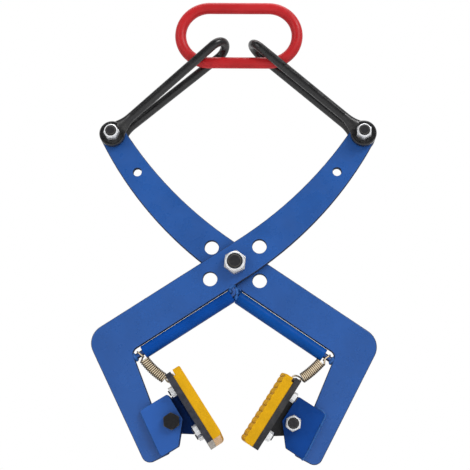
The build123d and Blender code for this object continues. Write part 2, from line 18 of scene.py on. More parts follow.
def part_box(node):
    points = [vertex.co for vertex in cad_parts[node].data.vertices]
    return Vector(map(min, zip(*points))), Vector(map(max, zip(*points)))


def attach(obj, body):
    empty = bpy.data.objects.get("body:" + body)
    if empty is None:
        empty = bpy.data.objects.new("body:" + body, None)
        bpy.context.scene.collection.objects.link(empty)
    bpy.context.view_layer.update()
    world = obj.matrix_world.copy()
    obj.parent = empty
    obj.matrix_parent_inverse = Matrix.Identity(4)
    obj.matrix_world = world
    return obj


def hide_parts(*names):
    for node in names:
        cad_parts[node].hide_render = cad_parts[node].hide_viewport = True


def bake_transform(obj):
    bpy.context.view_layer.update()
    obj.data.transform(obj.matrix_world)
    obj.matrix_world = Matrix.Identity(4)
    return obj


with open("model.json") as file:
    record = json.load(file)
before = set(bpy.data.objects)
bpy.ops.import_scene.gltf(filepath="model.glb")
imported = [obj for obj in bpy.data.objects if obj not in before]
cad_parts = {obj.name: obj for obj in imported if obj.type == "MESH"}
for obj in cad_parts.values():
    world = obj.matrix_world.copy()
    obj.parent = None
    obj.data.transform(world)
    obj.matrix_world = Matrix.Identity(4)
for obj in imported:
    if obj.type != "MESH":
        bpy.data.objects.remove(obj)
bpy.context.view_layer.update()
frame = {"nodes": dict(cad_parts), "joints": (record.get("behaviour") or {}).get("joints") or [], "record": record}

log = logging.getLogger("clamp")

Triple = tuple[float, float, float]
Colour = Triple
Span = tuple[float, float]
Value = NodeSocket | float
Tint = NodeSocket | Colour

MM = 0.001

# Points nearer than this, in millimetres, and faces at less than this turn, in degrees, are one.
SEAM_NEAR = 0.002
FLAT_TURN = 0.6

SIDEWAYS = Vector((0.0, 1.0, 0.0))
UPWARDS = Vector((0.0, 0.0, 1.0))
GRIPWARDS = Vector((1.0, 0.0, 0.0))

# Noise: its roughness, the band of it that is mostly used, and the end values it is carried to.
NOISE_ROUGHNESS = 0.55
MIDDLE: Span = (0.3, 0.7)
WHOLE: Span = (0.0, 1.0)
FADING: Span = (1.0, 0.0)


# ---------------------------------------------------------------------------
# Where things are
# ---------------------------------------------------------------------------


class Side(Enum):
    """The two halves of the clamp, named after the jaw that they end in."""

    LEFT = "left"
    RIGHT = "right"

    @property
    def arm(self) -> str:
        """The body of the arm that ends in this jaw."""
        return "front_arm" if self is Side.LEFT else "back_arm"

    @property
    def pad(self) -> str:
        """The body of the pad in this jaw."""
        return self.named("pad")

    @property
    def turn(self) -> Matrix:
        """The turn that brings a piece of the left half to this half."""
        return Matrix.Rotation(0.0 if self is Side.LEFT else math.pi, 4, "Z")

    def named(self, piece: str) -> str:
        """The name of a piece on this side."""
        return f"{self.value}_{piece}"


@dataclass(frozen=True)
class Hang:
    """How a pad hangs on its loose jaw bolt: three angles in degrees, a drop in millimetres."""

    swing: float
    turn: float
    roll: float
    drop: float


@dataclass(frozen=True)
class Layout:
    """Lines of the left half that the dressed pieces follow, in millimetres from the pivot."""

    arm_slope: float = 33.5
    arm_width: float = 40.0
    arm_y: float = -4.5
    rod_offset: float = 27.4
    rod_diameter: float = 6.0
    jaw_tilt: float = 32.0
    left_pad: Hang = Hang(1.4, 2.5, -7.0, 0.8)
    right_pad: Hang = Hang(0.0, 6.6, 0.0, 1.2)

    @property
    def along(self) -> Vector:
        """The direction up the arm."""
        slope = math.radians(self.arm_slope)
        return Vector((math.cos(slope), 0.0, math.sin(slope)))

    @property
    def across(self) -> Vector:
        """The direction across the arm, towards its upper edge."""
        return Vector((-self.along.z, 0.0, self.along.x))

    def joint(self, name: str) -> Vector:
        """The place of a joint in the frame, in metres."""
        return Vector(next(j["pos_m"] for j in frame["joints"] if j["name"] == name))

    def band_point(self, distance: float, offset: float) -> Vector:
        """The point, in metres, so many millimetres down the lower band and up across it."""
        pivot = self.joint("front_arm_hinge") + Vector((0.0, self.arm_y * MM, 0.0))
        return pivot + (self.across * offset - self.along * distance) * MM

    def jaw_frame(self) -> Matrix:
        """The frame of the left jaw, at its bolt, with X towards the grip."""
        tilt = Matrix.Rotation(-math.radians(self.jaw_tilt), 4, "Y")
        return Matrix.Translation(self.joint("left_pad_swivel")) @ tilt

    def hang(self, side: Side) -> Hang:
        """How the pad of a side hangs."""
        return self.left_pad if side is Side.LEFT else self.right_pad

    def lug_frame(self, side: Side) -> Matrix:
        """The frame of a side's lug, as it would be in the left jaw.

        Args:
            side: The side whose lug it is.

        Returns:
            The jaw's frame, swung and turned.
        """
        hang = self.hang(side)
        swing = Matrix.Rotation(-math.radians(hang.swing), 4, "Y")
        return self.jaw_frame() @ swing @ Matrix.Rotation(math.radians(hang.turn), 4, "Z")

    def plate_frame(self, side: Side) -> Matrix:
        """The frame of a side's plates and grip, as it would be in the left jaw.

        Args:
            side: The side whose plates they are.

        Returns:
            The lug's frame, dropped and rolled.
        """
        hang = self.hang(side)
        drop = Matrix.Translation((0.0, 0.0, -hang.drop * MM))
        return self.lug_frame(side) @ drop @ Matrix.Rotation(math.radians(hang.roll), 4, "X")


LAYOUT = Layout()


def body_of(node: str) -> str:
    """The body that a CAD node rides on."""
    bodies = frame["record"]["behaviour"]["bodies"]
    return next(body for body, nodes in bodies.items() if node in nodes)


# ---------------------------------------------------------------------------
# Hand tools
# ---------------------------------------------------------------------------


class Bench:
    """The modelling bench: each tool is a short run of Blender's operators."""

    @staticmethod
    def clear() -> None:
        """Leaves edit mode and selects nothing."""
        if bpy.context.mode != "OBJECT":
            bpy.ops.object.mode_set(mode="OBJECT")
        bpy.ops.object.select_all(action="DESELECT")

    @staticmethod
    def take(piece: Object) -> None:
        """Selects one piece alone and makes it the active one.

        Args:
            piece: The piece to take.
        """
        Bench.clear()
        piece.select_set(True)
        bpy.context.view_layer.objects.active = piece

    @staticmethod
    def stand(name: str, data: ID) -> Object:
        """Sets up an object in the scene.

        Args:
            name: Name of the new object.
            data: Its mesh, curve, lamp or camera.

        Returns:
            The new object.
        """
        new = bpy.data.objects.new(name, data)
        bpy.context.scene.collection.objects.link(new)
        return new

    @staticmethod
    def add(name: str, primitive: Callable[..., set[str]], **sizes: object) -> Object:
        """Adds a primitive and puts its place into its mesh.

        Args:
            name: Name of the new piece.
            primitive: Operator that adds it.
            **sizes: What the operator is given.

        Returns:
            The new piece, selected all over.
        """
        Bench.clear()
        primitive(**sizes)
        piece = bpy.context.active_object
        piece.name = piece.data.name = name
        bpy.ops.object.transform_apply(location=True, rotation=True, scale=True)
        return piece

    @staticmethod
    @contextmanager
    def editing(piece: Object, mode: str = "FACE") -> Iterator[None]:
        """Opens a piece in edit mode with all of it selected.

        Args:
            piece: The piece to work on.
            mode: What is selected: VERT, EDGE or FACE.

        Yields:
            Nothing, while the piece is open.
        """
        Bench.take(piece)
        bpy.ops.object.mode_set(mode="EDIT")
        bpy.ops.mesh.select_mode(type=mode)
        bpy.ops.mesh.select_all(action="SELECT")
        yield
        bpy.ops.object.mode_set(mode="OBJECT")

    @staticmethod
    def pick_edges(piece: Object, wanted: Callable[[Vector, Vector], bool]) -> None:
        """Selects edges of a piece in edit mode.

        Args:
            piece: The piece that is open.
            wanted: Test that the two ends of an edge pass.
        """
        bpy.ops.mesh.select_all(action="DESELECT")
        mesh = bmesh.from_edit_mesh(piece.data)
        for edge in mesh.edges:
            edge.select_set(wanted(edge.verts[0].co, edge.verts[1].co))
        bmesh.update_edit_mesh(piece.data)

    @staticmethod
    def modify(piece: Object, kind: str, **settings: object) -> Object:
        """Adds a modifier to a piece and applies it.

        Args:
            piece: The piece to change.
            kind: The modifier's type.
            **settings: Values of the modifier.

        Returns:
            The same piece.
        """
        Bench.take(piece)
        modifier = piece.modifiers.new(kind.title(), kind)
        for key, value in settings.items():
            setattr(modifier, key, value)
        bpy.ops.object.modifier_apply(modifier=modifier.name)
        return piece

    @staticmethod
    def ease(piece: Object, width: float, angle: float = 32.0, segments: int = 2) -> Object:
        """Rounds the sharp edges of a piece.

        Args:
            piece: The piece to ease.
            width: Width of the rounding in millimetres.
            angle: Least turn between two faces, in degrees.
            segments: Steps of the rounding.

        Returns:
            The same piece, shaded smooth across the rounding.
        """
        Bench.modify(
            piece,
            "BEVEL",
            width=width * MM,
            segments=segments,
            limit_method="ANGLE",
            angle_limit=math.radians(angle),
            use_clamp_overlap=True,
        )
        Bench.smooth(piece)
        return Bench.modify(piece, "WEIGHTED_NORMAL", keep_sharp=True)

    @staticmethod
    def smooth(piece: Object, angle: float = 38.0) -> Object:
        """Shades a piece smooth.

        Args:
            piece: The piece to shade.
            angle: Turn in degrees past which an edge stays sharp.

        Returns:
            The same piece.
        """
        Bench.take(piece)
        bpy.ops.object.shade_smooth_by_angle(angle=math.radians(angle))
        return piece

    @staticmethod
    def close(piece: Object, near: float = 0.001) -> Object:
        """Merges the doubles of a piece and turns its faces outwards.

        Args:
            piece: The piece to close.
            near: How near two points are to be one, in millimetres.

        Returns:
            The same piece.
        """
        with Bench.editing(piece):
            bpy.ops.mesh.remove_doubles(threshold=near * MM)
            bpy.ops.mesh.normals_make_consistent(inside=False)
        return piece

    @staticmethod
    def place(piece: Object, matrix: Matrix) -> Object:
        """Moves a piece and puts the move into its mesh.

        Args:
            piece: The piece to move.
            matrix: The move.

        Returns:
            The same piece.
        """
        Bench.take(piece)
        piece.matrix_world = matrix
        bpy.ops.object.transform_apply(location=True, rotation=True, scale=True)
        return piece

    @staticmethod
    def copy(piece: Object, name: str, matrix: Matrix) -> Object:
        """Copies a piece, with a mesh of its own, to another place."""
        return Bench.place(Bench.stand(name, piece.data.copy()), matrix)

    @staticmethod
    def join(pieces: list[Object]) -> Object:
        """Joins pieces into one.

        Args:
            pieces: The pieces.

        Returns:
            The first of them, which holds them all.
        """
        Bench.take(pieces[0])
        for piece in pieces:
            piece.select_set(True)
        bpy.ops.object.join()
        return pieces[0]

    @staticmethod
    def cut(piece: Object, cutter: Object) -> Object:
        """Takes a cutter's shape out of a piece and throws the cutter away.

        Args:
            piece: The piece to cut.
            cutter: The shape that goes.

        Returns:
            The same piece.
        """
        Bench.modify(piece, "BOOLEAN", operation="DIFFERENCE", solver="EXACT", object=cutter)
        bpy.data.objects.remove(cutter)
        return piece

    @staticmethod
    def tube(
        name: str, outer: float, inner: float, length: float, ease: float, sides: int
    ) -> Object:
        """Turns a tube about Z, centred on the origin, with its rims eased.

        Args:
            name: Name of the new piece.
            outer: Outer radius in millimetres.
            inner: Inner radius in millimetres.
            length: Length in millimetres.
            ease: Width of the eased rims in millimetres.
            sides: Sides of the round.

        Returns:
            The tube.
        """
        piece = Bench.add(
            name,
            bpy.ops.mesh.primitive_cylinder_add,
            vertices=sides,
            radius=outer * MM,
            depth=length * MM,
            end_fill_type="NOTHING",
        )
        wall = (outer - inner) * MM
        Bench.modify(piece, "SOLIDIFY", thickness=wall, offset=-1.0, use_rim=True)
        Bench.close(piece)
        return Bench.ease(piece, ease, angle=50.0, segments=3)

    @staticmethod
    def wire(name: str, path: list[Vector], radius: float) -> Object:
        """Draws round wire along a path, with closed ends.

        Args:
            name: Name of the new piece.
            path: Points of the wire's middle line, in metres.
            radius: Radius of the wire in millimetres.

        Returns:
            The wire as a mesh.
        """
        curve = bpy.data.curves.new(name, "CURVE")
        curve.dimensions = "3D"
        curve.bevel_depth = radius * MM
        curve.bevel_resolution = 4
        curve.use_fill_caps = True
        spline = curve.splines.new("POLY")
        spline.points.add(len(path) - 1)
        for point, place in zip(spline.points, path):
            point.co = (*place, 1.0)
        piece = Bench.stand(name, curve)
        Bench.take(piece)
        bpy.ops.object.convert(target="MESH")
        Bench.close(piece)
        return Bench.smooth(piece, angle=60.0)


# ---------------------------------------------------------------------------
# Finishes
# ---------------------------------------------------------------------------


@dataclass(frozen=True)
class Cloud:
    """A layer of noise: size of its lumps in millimetres, detail, band used and end values."""

    size: float
    detail: float
    band: Span = MIDDLE
    ends: Span = WHOLE

    def about(self, value: float) -> "Cloud":
        """The same layer, with its end values counted from a value."""
        return replace(self, ends=(value + self.ends[0], value + self.ends[1]))


@dataclass(frozen=True)
class Grain:
    """A bump of noise: size of its lumps in millimetres, detail, and depth in millimetres."""

    size: float
    detail: float
    depth: float


class NodeSheet:
    """A sheet of shader nodes, with short ways to add to it."""

    def __init__(self, tree: NodeTree) -> None:
        """Takes the tree that the nodes go into."""
        self.tree = tree

    def add(self, kind: str, inputs: dict[str | int, object], **settings: object) -> Node:
        """Adds a node.

        Args:
            kind: Type of the node.
            inputs: Sockets to link, or values to set, by name or number.
            **settings: Options of the node.

        Returns:
            The new node.
        """
        node = self.tree.nodes.new(kind)
        for key, value in settings.items():
            setattr(node, key, value)
        for key, value in inputs.items():
            if isinstance(value, NodeSocket):
                self.tree.links.new(value, node.inputs[key])
            else:
                node.inputs[key].default_value = value
        return node

    def span(self, value: NodeSocket, band: Span, ends: Span = WHOLE) -> NodeSocket:
        """A value carried smoothly from a band to two end values and held beyond it.

        Args:
            value: The value.
            band: Where the change starts and ends.
            ends: What it is carried to.

        Returns:
            The value that comes out.
        """
        names = ("Value", "From Min", "From Max", "To Min", "To Max")
        inputs = dict(zip(names, (value, *band, *ends)))
        ramp = self.add("ShaderNodeMapRange", inputs, interpolation_type="SMOOTHSTEP")
        return ramp.outputs["Result"]

    def sum(self, operation: str, *values: Value) -> NodeSocket:
        """One sum of up to three values."""
        inputs = dict(enumerate(values))
        return self.add("ShaderNodeMath", inputs, operation=operation).outputs["Value"]

    def times(self, first: Value, second: Value) -> NodeSocket:
        """The product of two values."""
        return self.sum("MULTIPLY", first, second)

    def part(self, vector: NodeSocket, axis: str) -> NodeSocket:
        """One part of a vector, by the name of its axis."""
        return self.add("ShaderNodeSeparateXYZ", {"Vector": vector}).outputs[axis]


class Recipe(NodeSheet):
    """The nodes of one material, laid out around its shader."""

    def __init__(self, name: str, **shader: object) -> None:
        """Starts a material.

        Args:
            name: Name of the material.
            **shader: Constants of the shader's own sockets, with _ for a space.
        """
        self.material = bpy.data.materials.new(name)
        self.material.use_nodes = True
        super().__init__(self.material.node_tree)
        self.shader = self.tree.nodes["Principled BSDF"]
        for key, value in shader.items():
            self.shader.inputs[key.replace("_", " ")].default_value = value

    def place(self, centre: Matrix = Matrix.Identity(4)) -> NodeSocket:
        """Object coordinates, told from a frame of the piece.

        Args:
            centre: The frame.

        Returns:
            The coordinates, in metres.
        """
        inputs = {
            "Vector": self.add("ShaderNodeTexCoord", {}).outputs["Object"],
            "Location": centre.to_translation(),
            "Rotation": centre.to_euler("XYZ"),
        }
        return self.add("ShaderNodeMapping", inputs, vector_type="TEXTURE").outputs["Vector"]

    def stretched(self, place: NodeSocket, scale: Triple) -> NodeSocket:
        """Coordinates stretched along their axes."""
        return self.add("ShaderNodeMapping", {"Vector": place, "Scale": scale}).outputs["Vector"]

    def noise(self, place: NodeSocket, layer: Cloud | Grain) -> NodeSocket:
        """The noise of a layer, as it comes.

        Args:
            place: Coordinates of the surface.
            layer: The layer, of which the size and the detail count here.

        Returns:
            A value from 0 to 1.
        """
        inputs = {
            "Vector": place,
            "Scale": 1.0 / (layer.size * MM),
            "Detail": layer.detail,
            "Roughness": NOISE_ROUGHNESS,
        }
        return self.add("ShaderNodeTexNoise", inputs).outputs["Fac"]

    def cloud(self, place: NodeSocket, layer: Cloud) -> NodeSocket:
        """The noise of a layer, carried from its band to its end values."""
        return self.span(self.noise(place, layer), layer.band, layer.ends)

    def bump(self, height: NodeSocket, depth: float, under: NodeSocket | None = None) -> NodeSocket:
        """A bump that may lie over another one.

        Args:
            height: Height of the bump, from 0 to 1.
            depth: What a height of 1 is, in millimetres.
            under: The bump below it.

        Returns:
            The bumped direction of the surface.
        """
        inputs = {"Height": height, "Strength": 1.0, "Distance": depth * MM}
        if under is not None:
            inputs["Normal"] = under
        return self.add("ShaderNodeBump", inputs).outputs["Normal"]

    def grain(self, place: NodeSocket, layer: Grain, under: NodeSocket | None = None) -> NodeSocket:
        """A bump of noise that may lie over another one."""
        return self.bump(self.noise(place, layer), layer.depth, under)

    def mix(self, factor: Value, first: Tint, second: Tint) -> NodeSocket:
        """A mix of two colours.

        Args:
            factor: Share of the second colour.
            first: The first colour.
            second: The second colour.

        Returns:
            The mixed colour.
        """
        first, second = ((*c, 1.0) if isinstance(c, tuple) else c for c in (first, second))
        inputs = {0: factor, 6: first, 7: second}
        return self.add("ShaderNodeMix", inputs, data_type="RGBA").outputs[2]

    def facing(self, direction: Vector) -> NodeSocket:
        """How far the surface faces a direction of the piece.

        Args:
            direction: The direction, in the piece's own axes.

        Returns:
            A value from -1 to 1.
        """
        inputs = {"Vector": self.add("ShaderNodeNewGeometry", {}).outputs["Normal"]}
        axes = {"vector_type": "NORMAL", "convert_from": "WORLD", "convert_to": "OBJECT"}
        normal = self.add("ShaderNodeVectorTransform", inputs, **axes).outputs["Vector"]
        product = {0: normal, 1: direction}
        return self.add("ShaderNodeVectorMath", product, operation="DOT_PRODUCT").outputs["Value"]

    def flatness(self) -> NodeSocket:
        """How far the surface faces the clamp's front or back, from 0 to 1."""
        return self.sum("ABSOLUTE", self.facing(SIDEWAYS))

    def finish(
        self,
        colour: NodeSocket,
        roughness: NodeSocket | None = None,
        normal: NodeSocket | None = None,
        metal: NodeSocket | None = None,
    ) -> Material:
        """Links the shader to what varies over the surface.

        Args:
            colour: Colour of the surface.
            roughness: Its roughness.
            normal: Its bumped direction.
            metal: How far it is bare metal.

        Returns:
            The material.
        """
        names = ("Base Color", "Roughness", "Normal", "Metallic")
        for name, socket in zip(names, (colour, roughness, normal, metal)):
            if socket is not None:
                self.tree.links.new(socket, self.shader.inputs[name])
        return self.material


def toned(colour: Colour, share: float) -> Colour:
    """A colour made lighter or darker."""
    return tuple(part * share for part in colour)


def dress(piece: Object, material: Material) -> Object:
    """Gives a piece, or a CAD node, one material all over.

    Args:
        piece: The piece or node.
        material: Its material.

    Returns:
        The same piece.
    """
    if not piece.material_slots:
        piece.data.materials.append(material)
    for slot in piece.material_slots:
        slot.material = material
    return piece


@dataclass(frozen=True)
class Finish:
    """A finish, by its name and its main colour."""

    name: str
    colour: Colour

    def material(self) -> Material:
        """Mixes the finish."""
        raise NotImplementedError

    def shared(self) -> Material:
        """The finish's material, mixed once and then used again."""
        return bpy.data.materials.get(self.name) or self.material()


@dataclass(frozen=True)
class Paint(Finish):
    """Sprayed gloss paint on steel, with orange peel, drifts of tone, and painted shade that darkens its edges,
    roundings and hole walls.
    """

    # Share of the colour kept where painted shade darkens the edges, roundings and hole walls.
    edge: float = 0.14
    gloss: float = 0.28
    drift: float = 0.08
    shine: float = 0.5
    peel: Grain = Grain(2.2, 2.0, 0.008)
    tones: Cloud = Cloud(60.0, 4.0)
    haze: Cloud = Cloud(18.0, 5.0, ends=(-0.04, 0.06))
    rounding: Span = (0.72, 0.995)
    dulling: float = 0.7

    def material(self) -> Material:
        """Mixes the paint.

        Returns:
            Its material.
        """
        recipe = Recipe(self.name, Specular_IOR_Level=self.shine)
        place = recipe.place()
        ends = (toned(self.colour, 1.0 - self.drift), toned(self.colour, 1.0 + self.drift))
        colour = recipe.mix(recipe.cloud(place, self.tones), *ends)
        # Painted shade: faces that turn away from the front and back, such as edges, roundings and hole walls, are
        # darkened.
        shade = recipe.span(recipe.flatness(), self.rounding, FADING)
        colour = recipe.mix(shade, colour, toned(self.colour, self.edge))
        rough = recipe.cloud(place, self.haze.about(self.gloss))
        rough = recipe.sum("ADD", rough, recipe.times(shade, self.dulling))
        return recipe.finish(colour, rough, recipe.grain(place, self.peel))


@dataclass(frozen=True)
class BarPaint(Finish):
    """Thick paint on round bar, pooled in places, lumpy and a little specked."""

    deep: Colour
    gloss: float = 0.42
    shine: float = 0.3
    pools: Cloud = Cloud(24.0, 5.0, (0.32, 0.68))
    specks: Cloud = Cloud(1.1, 2.0, (0.66, 0.76), (0.0, 0.10))
    lumps: Grain = Grain(7.0, 2.0, 0.07)
    peel: Grain = Grain(2.2, 1.0, 0.006)
    haze: Cloud = Cloud(9.0, 4.0, ends=(-0.06, 0.08))

    def material(self) -> Material:
        """Mixes the paint.

        Returns:
            Its material.
        """
        recipe = Recipe(self.name, Specular_IOR_Level=self.shine)
        place = recipe.place()
        colour = recipe.mix(recipe.cloud(place, self.pools), self.deep, self.colour)
        colour = recipe.mix(recipe.cloud(place, self.specks), colour, self.deep)
        normal = recipe.grain(place, self.peel, recipe.grain(place, self.lumps))
        return recipe.finish(colour, recipe.cloud(place, self.haze.about(self.gloss)), normal)


@dataclass(frozen=True)
class Forging(Finish):
    """Black coating over forged rod, with scale marks under it and rubbed streaks."""

    rubbed: Colour
    gloss: float = 0.28
    shine: float = 0.5
    rubs: Cloud = Cloud(14.0, 5.0, (0.52, 0.74), (0.0, 0.8))
    scale: Cloud = Cloud(6.0, 6.0, ends=(-0.08, 0.12))
    scale_depth: float = 0.04
    pits: Cloud = Cloud(1.4, 3.0, (0.35, 0.62))
    pit_depth: float = 0.008

    def material(self) -> Material:
        """Mixes the coating.

        Returns:
            Its material.
        """
        recipe = Recipe(self.name, Specular_IOR_Level=self.shine)
        place = recipe.place()
        colour = recipe.mix(recipe.cloud(place, self.rubs), self.colour, self.rubbed)
        scale = recipe.noise(place, self.scale)
        rough = recipe.span(scale, self.scale.band, self.scale.about(self.gloss).ends)
        under = recipe.bump(scale, self.scale_depth)
        normal = recipe.bump(recipe.cloud(place, self.pits), self.pit_depth, under)
        return recipe.finish(colour, rough, normal)


@dataclass(frozen=True)
class Plating(Finish):
    """Bright plating on turned or drawn steel, with faint stains."""

    stain: Colour
    gloss: float = 0.28
    metal: float = 0.45
    stains: Cloud = Cloud(5.0, 5.0, (0.42, 0.72), (0.0, 0.75))
    haze: Cloud = Cloud(2.0, 4.0, ends=(-0.06, 0.10))
    skin: Grain = Grain(0.9, 2.0, 0.008)

    def shaded(self, recipe: Recipe, place: NodeSocket, colour: NodeSocket) -> NodeSocket:
        """The plating's colour, the same in all places."""
        return colour

    def material(self) -> Material:
        """Mixes the plating.

        Returns:
            Its material.
        """
        recipe = Recipe(self.name, Metallic=self.metal)
        place = recipe.place()
        colour = recipe.mix(recipe.cloud(place, self.stains), self.colour, self.stain)
        colour = self.shaded(recipe, place, colour)
        rough = recipe.cloud(place, self.haze.about(self.gloss))
        return recipe.finish(colour, rough, recipe.grain(place, self.skin))


@dataclass(frozen=True)
class NutPlating(Plating):
    """Plating on a lock nut, with painted shade darkening it from the Y, in metres, at which its hexagon starts.
    """

    start: float = 0.0
    inward: bool = True
    # Painted shade: the hexagon is darkened against the brighter collar of the same zinc.
    hex_painted_shade: Colour = (0.34, 0.35, 0.37)
    dulling: float = 0.8
    blur: float = 0.2

    def shaded(self, recipe: Recipe, place: NodeSocket, colour: NodeSocket) -> NodeSocket:
        """The plating's colour, darkened on the hexagon as painted shade.

        Args:
            recipe: The material's nodes.
            place: Coordinates of the surface.
            colour: Colour of the plating.

        Returns:
            The colour of the nut.
        """
        ends = (0.0, self.dulling) if self.inward else (self.dulling, 0.0)
        band = (self.start - self.blur * MM, self.start + self.blur * MM)
        return recipe.mix(recipe.span(recipe.part(place, "Y"), band, ends), colour, self.hex_painted_shade)


@dataclass(frozen=True)
class CoiledWire(Plating):
    """Yellowed zinc on spring wire, with painted shade darkening the flanks and the inside of the coil."""

    # Colour of the painted shade inside the coil and on the wire's flanks.
    inside: Colour = (0.030, 0.018, 0.010)
    mark: str = "inside"
    inner: Span = (-0.60, 0.0)
    painted_flank_shade: Span = (0.50, 0.90)
    painted_flank_shade_ends: Span = (0.95, 0.0)

    def shaded(self, recipe: Recipe, place: NodeSocket, colour: NodeSocket) -> NodeSocket:
        """The plating's colour, with painted shade from the mark on the wire and on its flanks.

        Args:
            recipe: The material's nodes.
            place: Coordinates of the surface.
            colour: Colour of the plating.

        Returns:
            The colour of the wire.
        """
        depth = recipe.add("ShaderNodeAttribute", {}, attribute_name=self.mark).outputs["Fac"]
        # Painted shade: the coil's inside and the wire's flanks are darkened.
        painted_flank_shade = recipe.span(recipe.flatness(), self.painted_flank_shade, self.painted_flank_shade_ends)
        dark = recipe.sum("MAXIMUM", recipe.span(depth, self.inner), painted_flank_shade)
        return recipe.mix(dark, colour, self.inside)


@dataclass(frozen=True)
class BlackSteel(Finish):
    """Black oxide on a bolt, with turned rings about its axis and chamfers lightened by wear and a painted
    highlight.
    """

    worn: Colour
    axis: Vector
    gloss: float = 0.42
    metal: float = 0.1
    shine: float = 0.3
    # Colour of the chamfer's wear and painted highlight.
    rubbed: Colour = (0.085, 0.078, 0.068)
    wear: Cloud = Cloud(3.0, 5.0, (0.46, 0.78), (0.0, 0.7))
    haze: Cloud = Cloud(1.5, 3.0, ends=(-0.07, 0.12))
    grit: Grain = Grain(0.8, 2.0, 0.012)
    chamfer_start: Span = (0.55, 0.70)
    chamfer_end: Span = (0.93, 0.98)
    chamfer_wear_and_highlight: float = 0.8
    rings: float = 170.0
    ring_depth: float = 0.02

    def material(self) -> Material:
        """Mixes the oxide, with its rings centred on the bolt.

        Returns:
            Its material.
        """
        recipe = Recipe(self.name, Metallic=self.metal, Specular_IOR_Level=self.shine)
        place = recipe.place(Matrix.Translation(self.axis))
        waves = {"Scale": self.rings, "Distortion": 0.6, "Detail": 2.0, "Detail Scale": 3.0}
        rings = recipe.add(
            "ShaderNodeTexWave",
            {"Vector": place, **waves},
            wave_type="RINGS",
            rings_direction="Y",
        ).outputs["Fac"]
        colour = recipe.mix(recipe.cloud(place, self.wear), self.colour, self.worn)
        # Wear and a painted highlight lighten the chamfer ring.
        flat = recipe.flatness()
        leaving = recipe.span(flat, self.chamfer_end, (self.chamfer_wear_and_highlight, 0.0))
        chamfer = recipe.times(recipe.span(flat, self.chamfer_start), leaving)
        colour = recipe.mix(chamfer, colour, self.rubbed)
        rough = recipe.cloud(place, self.haze.about(self.gloss))
        normal = recipe.bump(rings, self.ring_depth, recipe.grain(place, self.grit))
        return recipe.finish(colour, rough, normal)


@dataclass(frozen=True)
class PlateSteel(Finish):
    """Dark mill scale on plate, mottled, with bright sawn ends."""

    mottle: Colour
    end: Vector
    frame: Matrix
    shine: float = 0.35
    sawn: Colour = (0.46, 0.42, 0.36)
    sawn_dark: float = 0.6
    sawn_metal: float = 0.6
    rust: Colour = (0.11, 0.075, 0.055)
    mottles: Cloud = Cloud(7.0, 6.0, (0.36, 0.66))
    rusting: Cloud = Cloud(2.6, 4.0, (0.60, 0.72), (0.0, 0.35))
    strokes: Cloud = Cloud(9.0, 2.0)
    stroke_stretch: Triple = (1.0, 14.0, 1.0)
    bare: Span = (0.75, 0.92)
    haze: Cloud = Cloud(3.0, 4.0, ends=(0.40, 0.62))
    scale: Grain = Grain(1.8, 5.0, 0.05)

    def material(self) -> Material:
        """Mixes the mill scale and bares the end that the saw left.

        Returns:
            Its material.
        """
        recipe = Recipe(self.name, Specular_IOR_Level=self.shine)
        place = recipe.place(self.frame)
        colour = recipe.mix(recipe.cloud(place, self.mottles), self.colour, self.mottle)
        colour = recipe.mix(recipe.cloud(place, self.rusting), colour, self.rust)
        bare = recipe.span(recipe.facing(self.end), self.bare)
        strokes = recipe.cloud(recipe.stretched(place, self.stroke_stretch), self.strokes)
        cut = recipe.mix(strokes, toned(self.sawn, self.sawn_dark), self.sawn)
        colour = recipe.mix(bare, colour, cut)
        rough = recipe.cloud(place, self.haze)
        metal = recipe.times(bare, self.sawn_metal)
        return recipe.finish(colour, rough, recipe.grain(place, self.scale), metal)


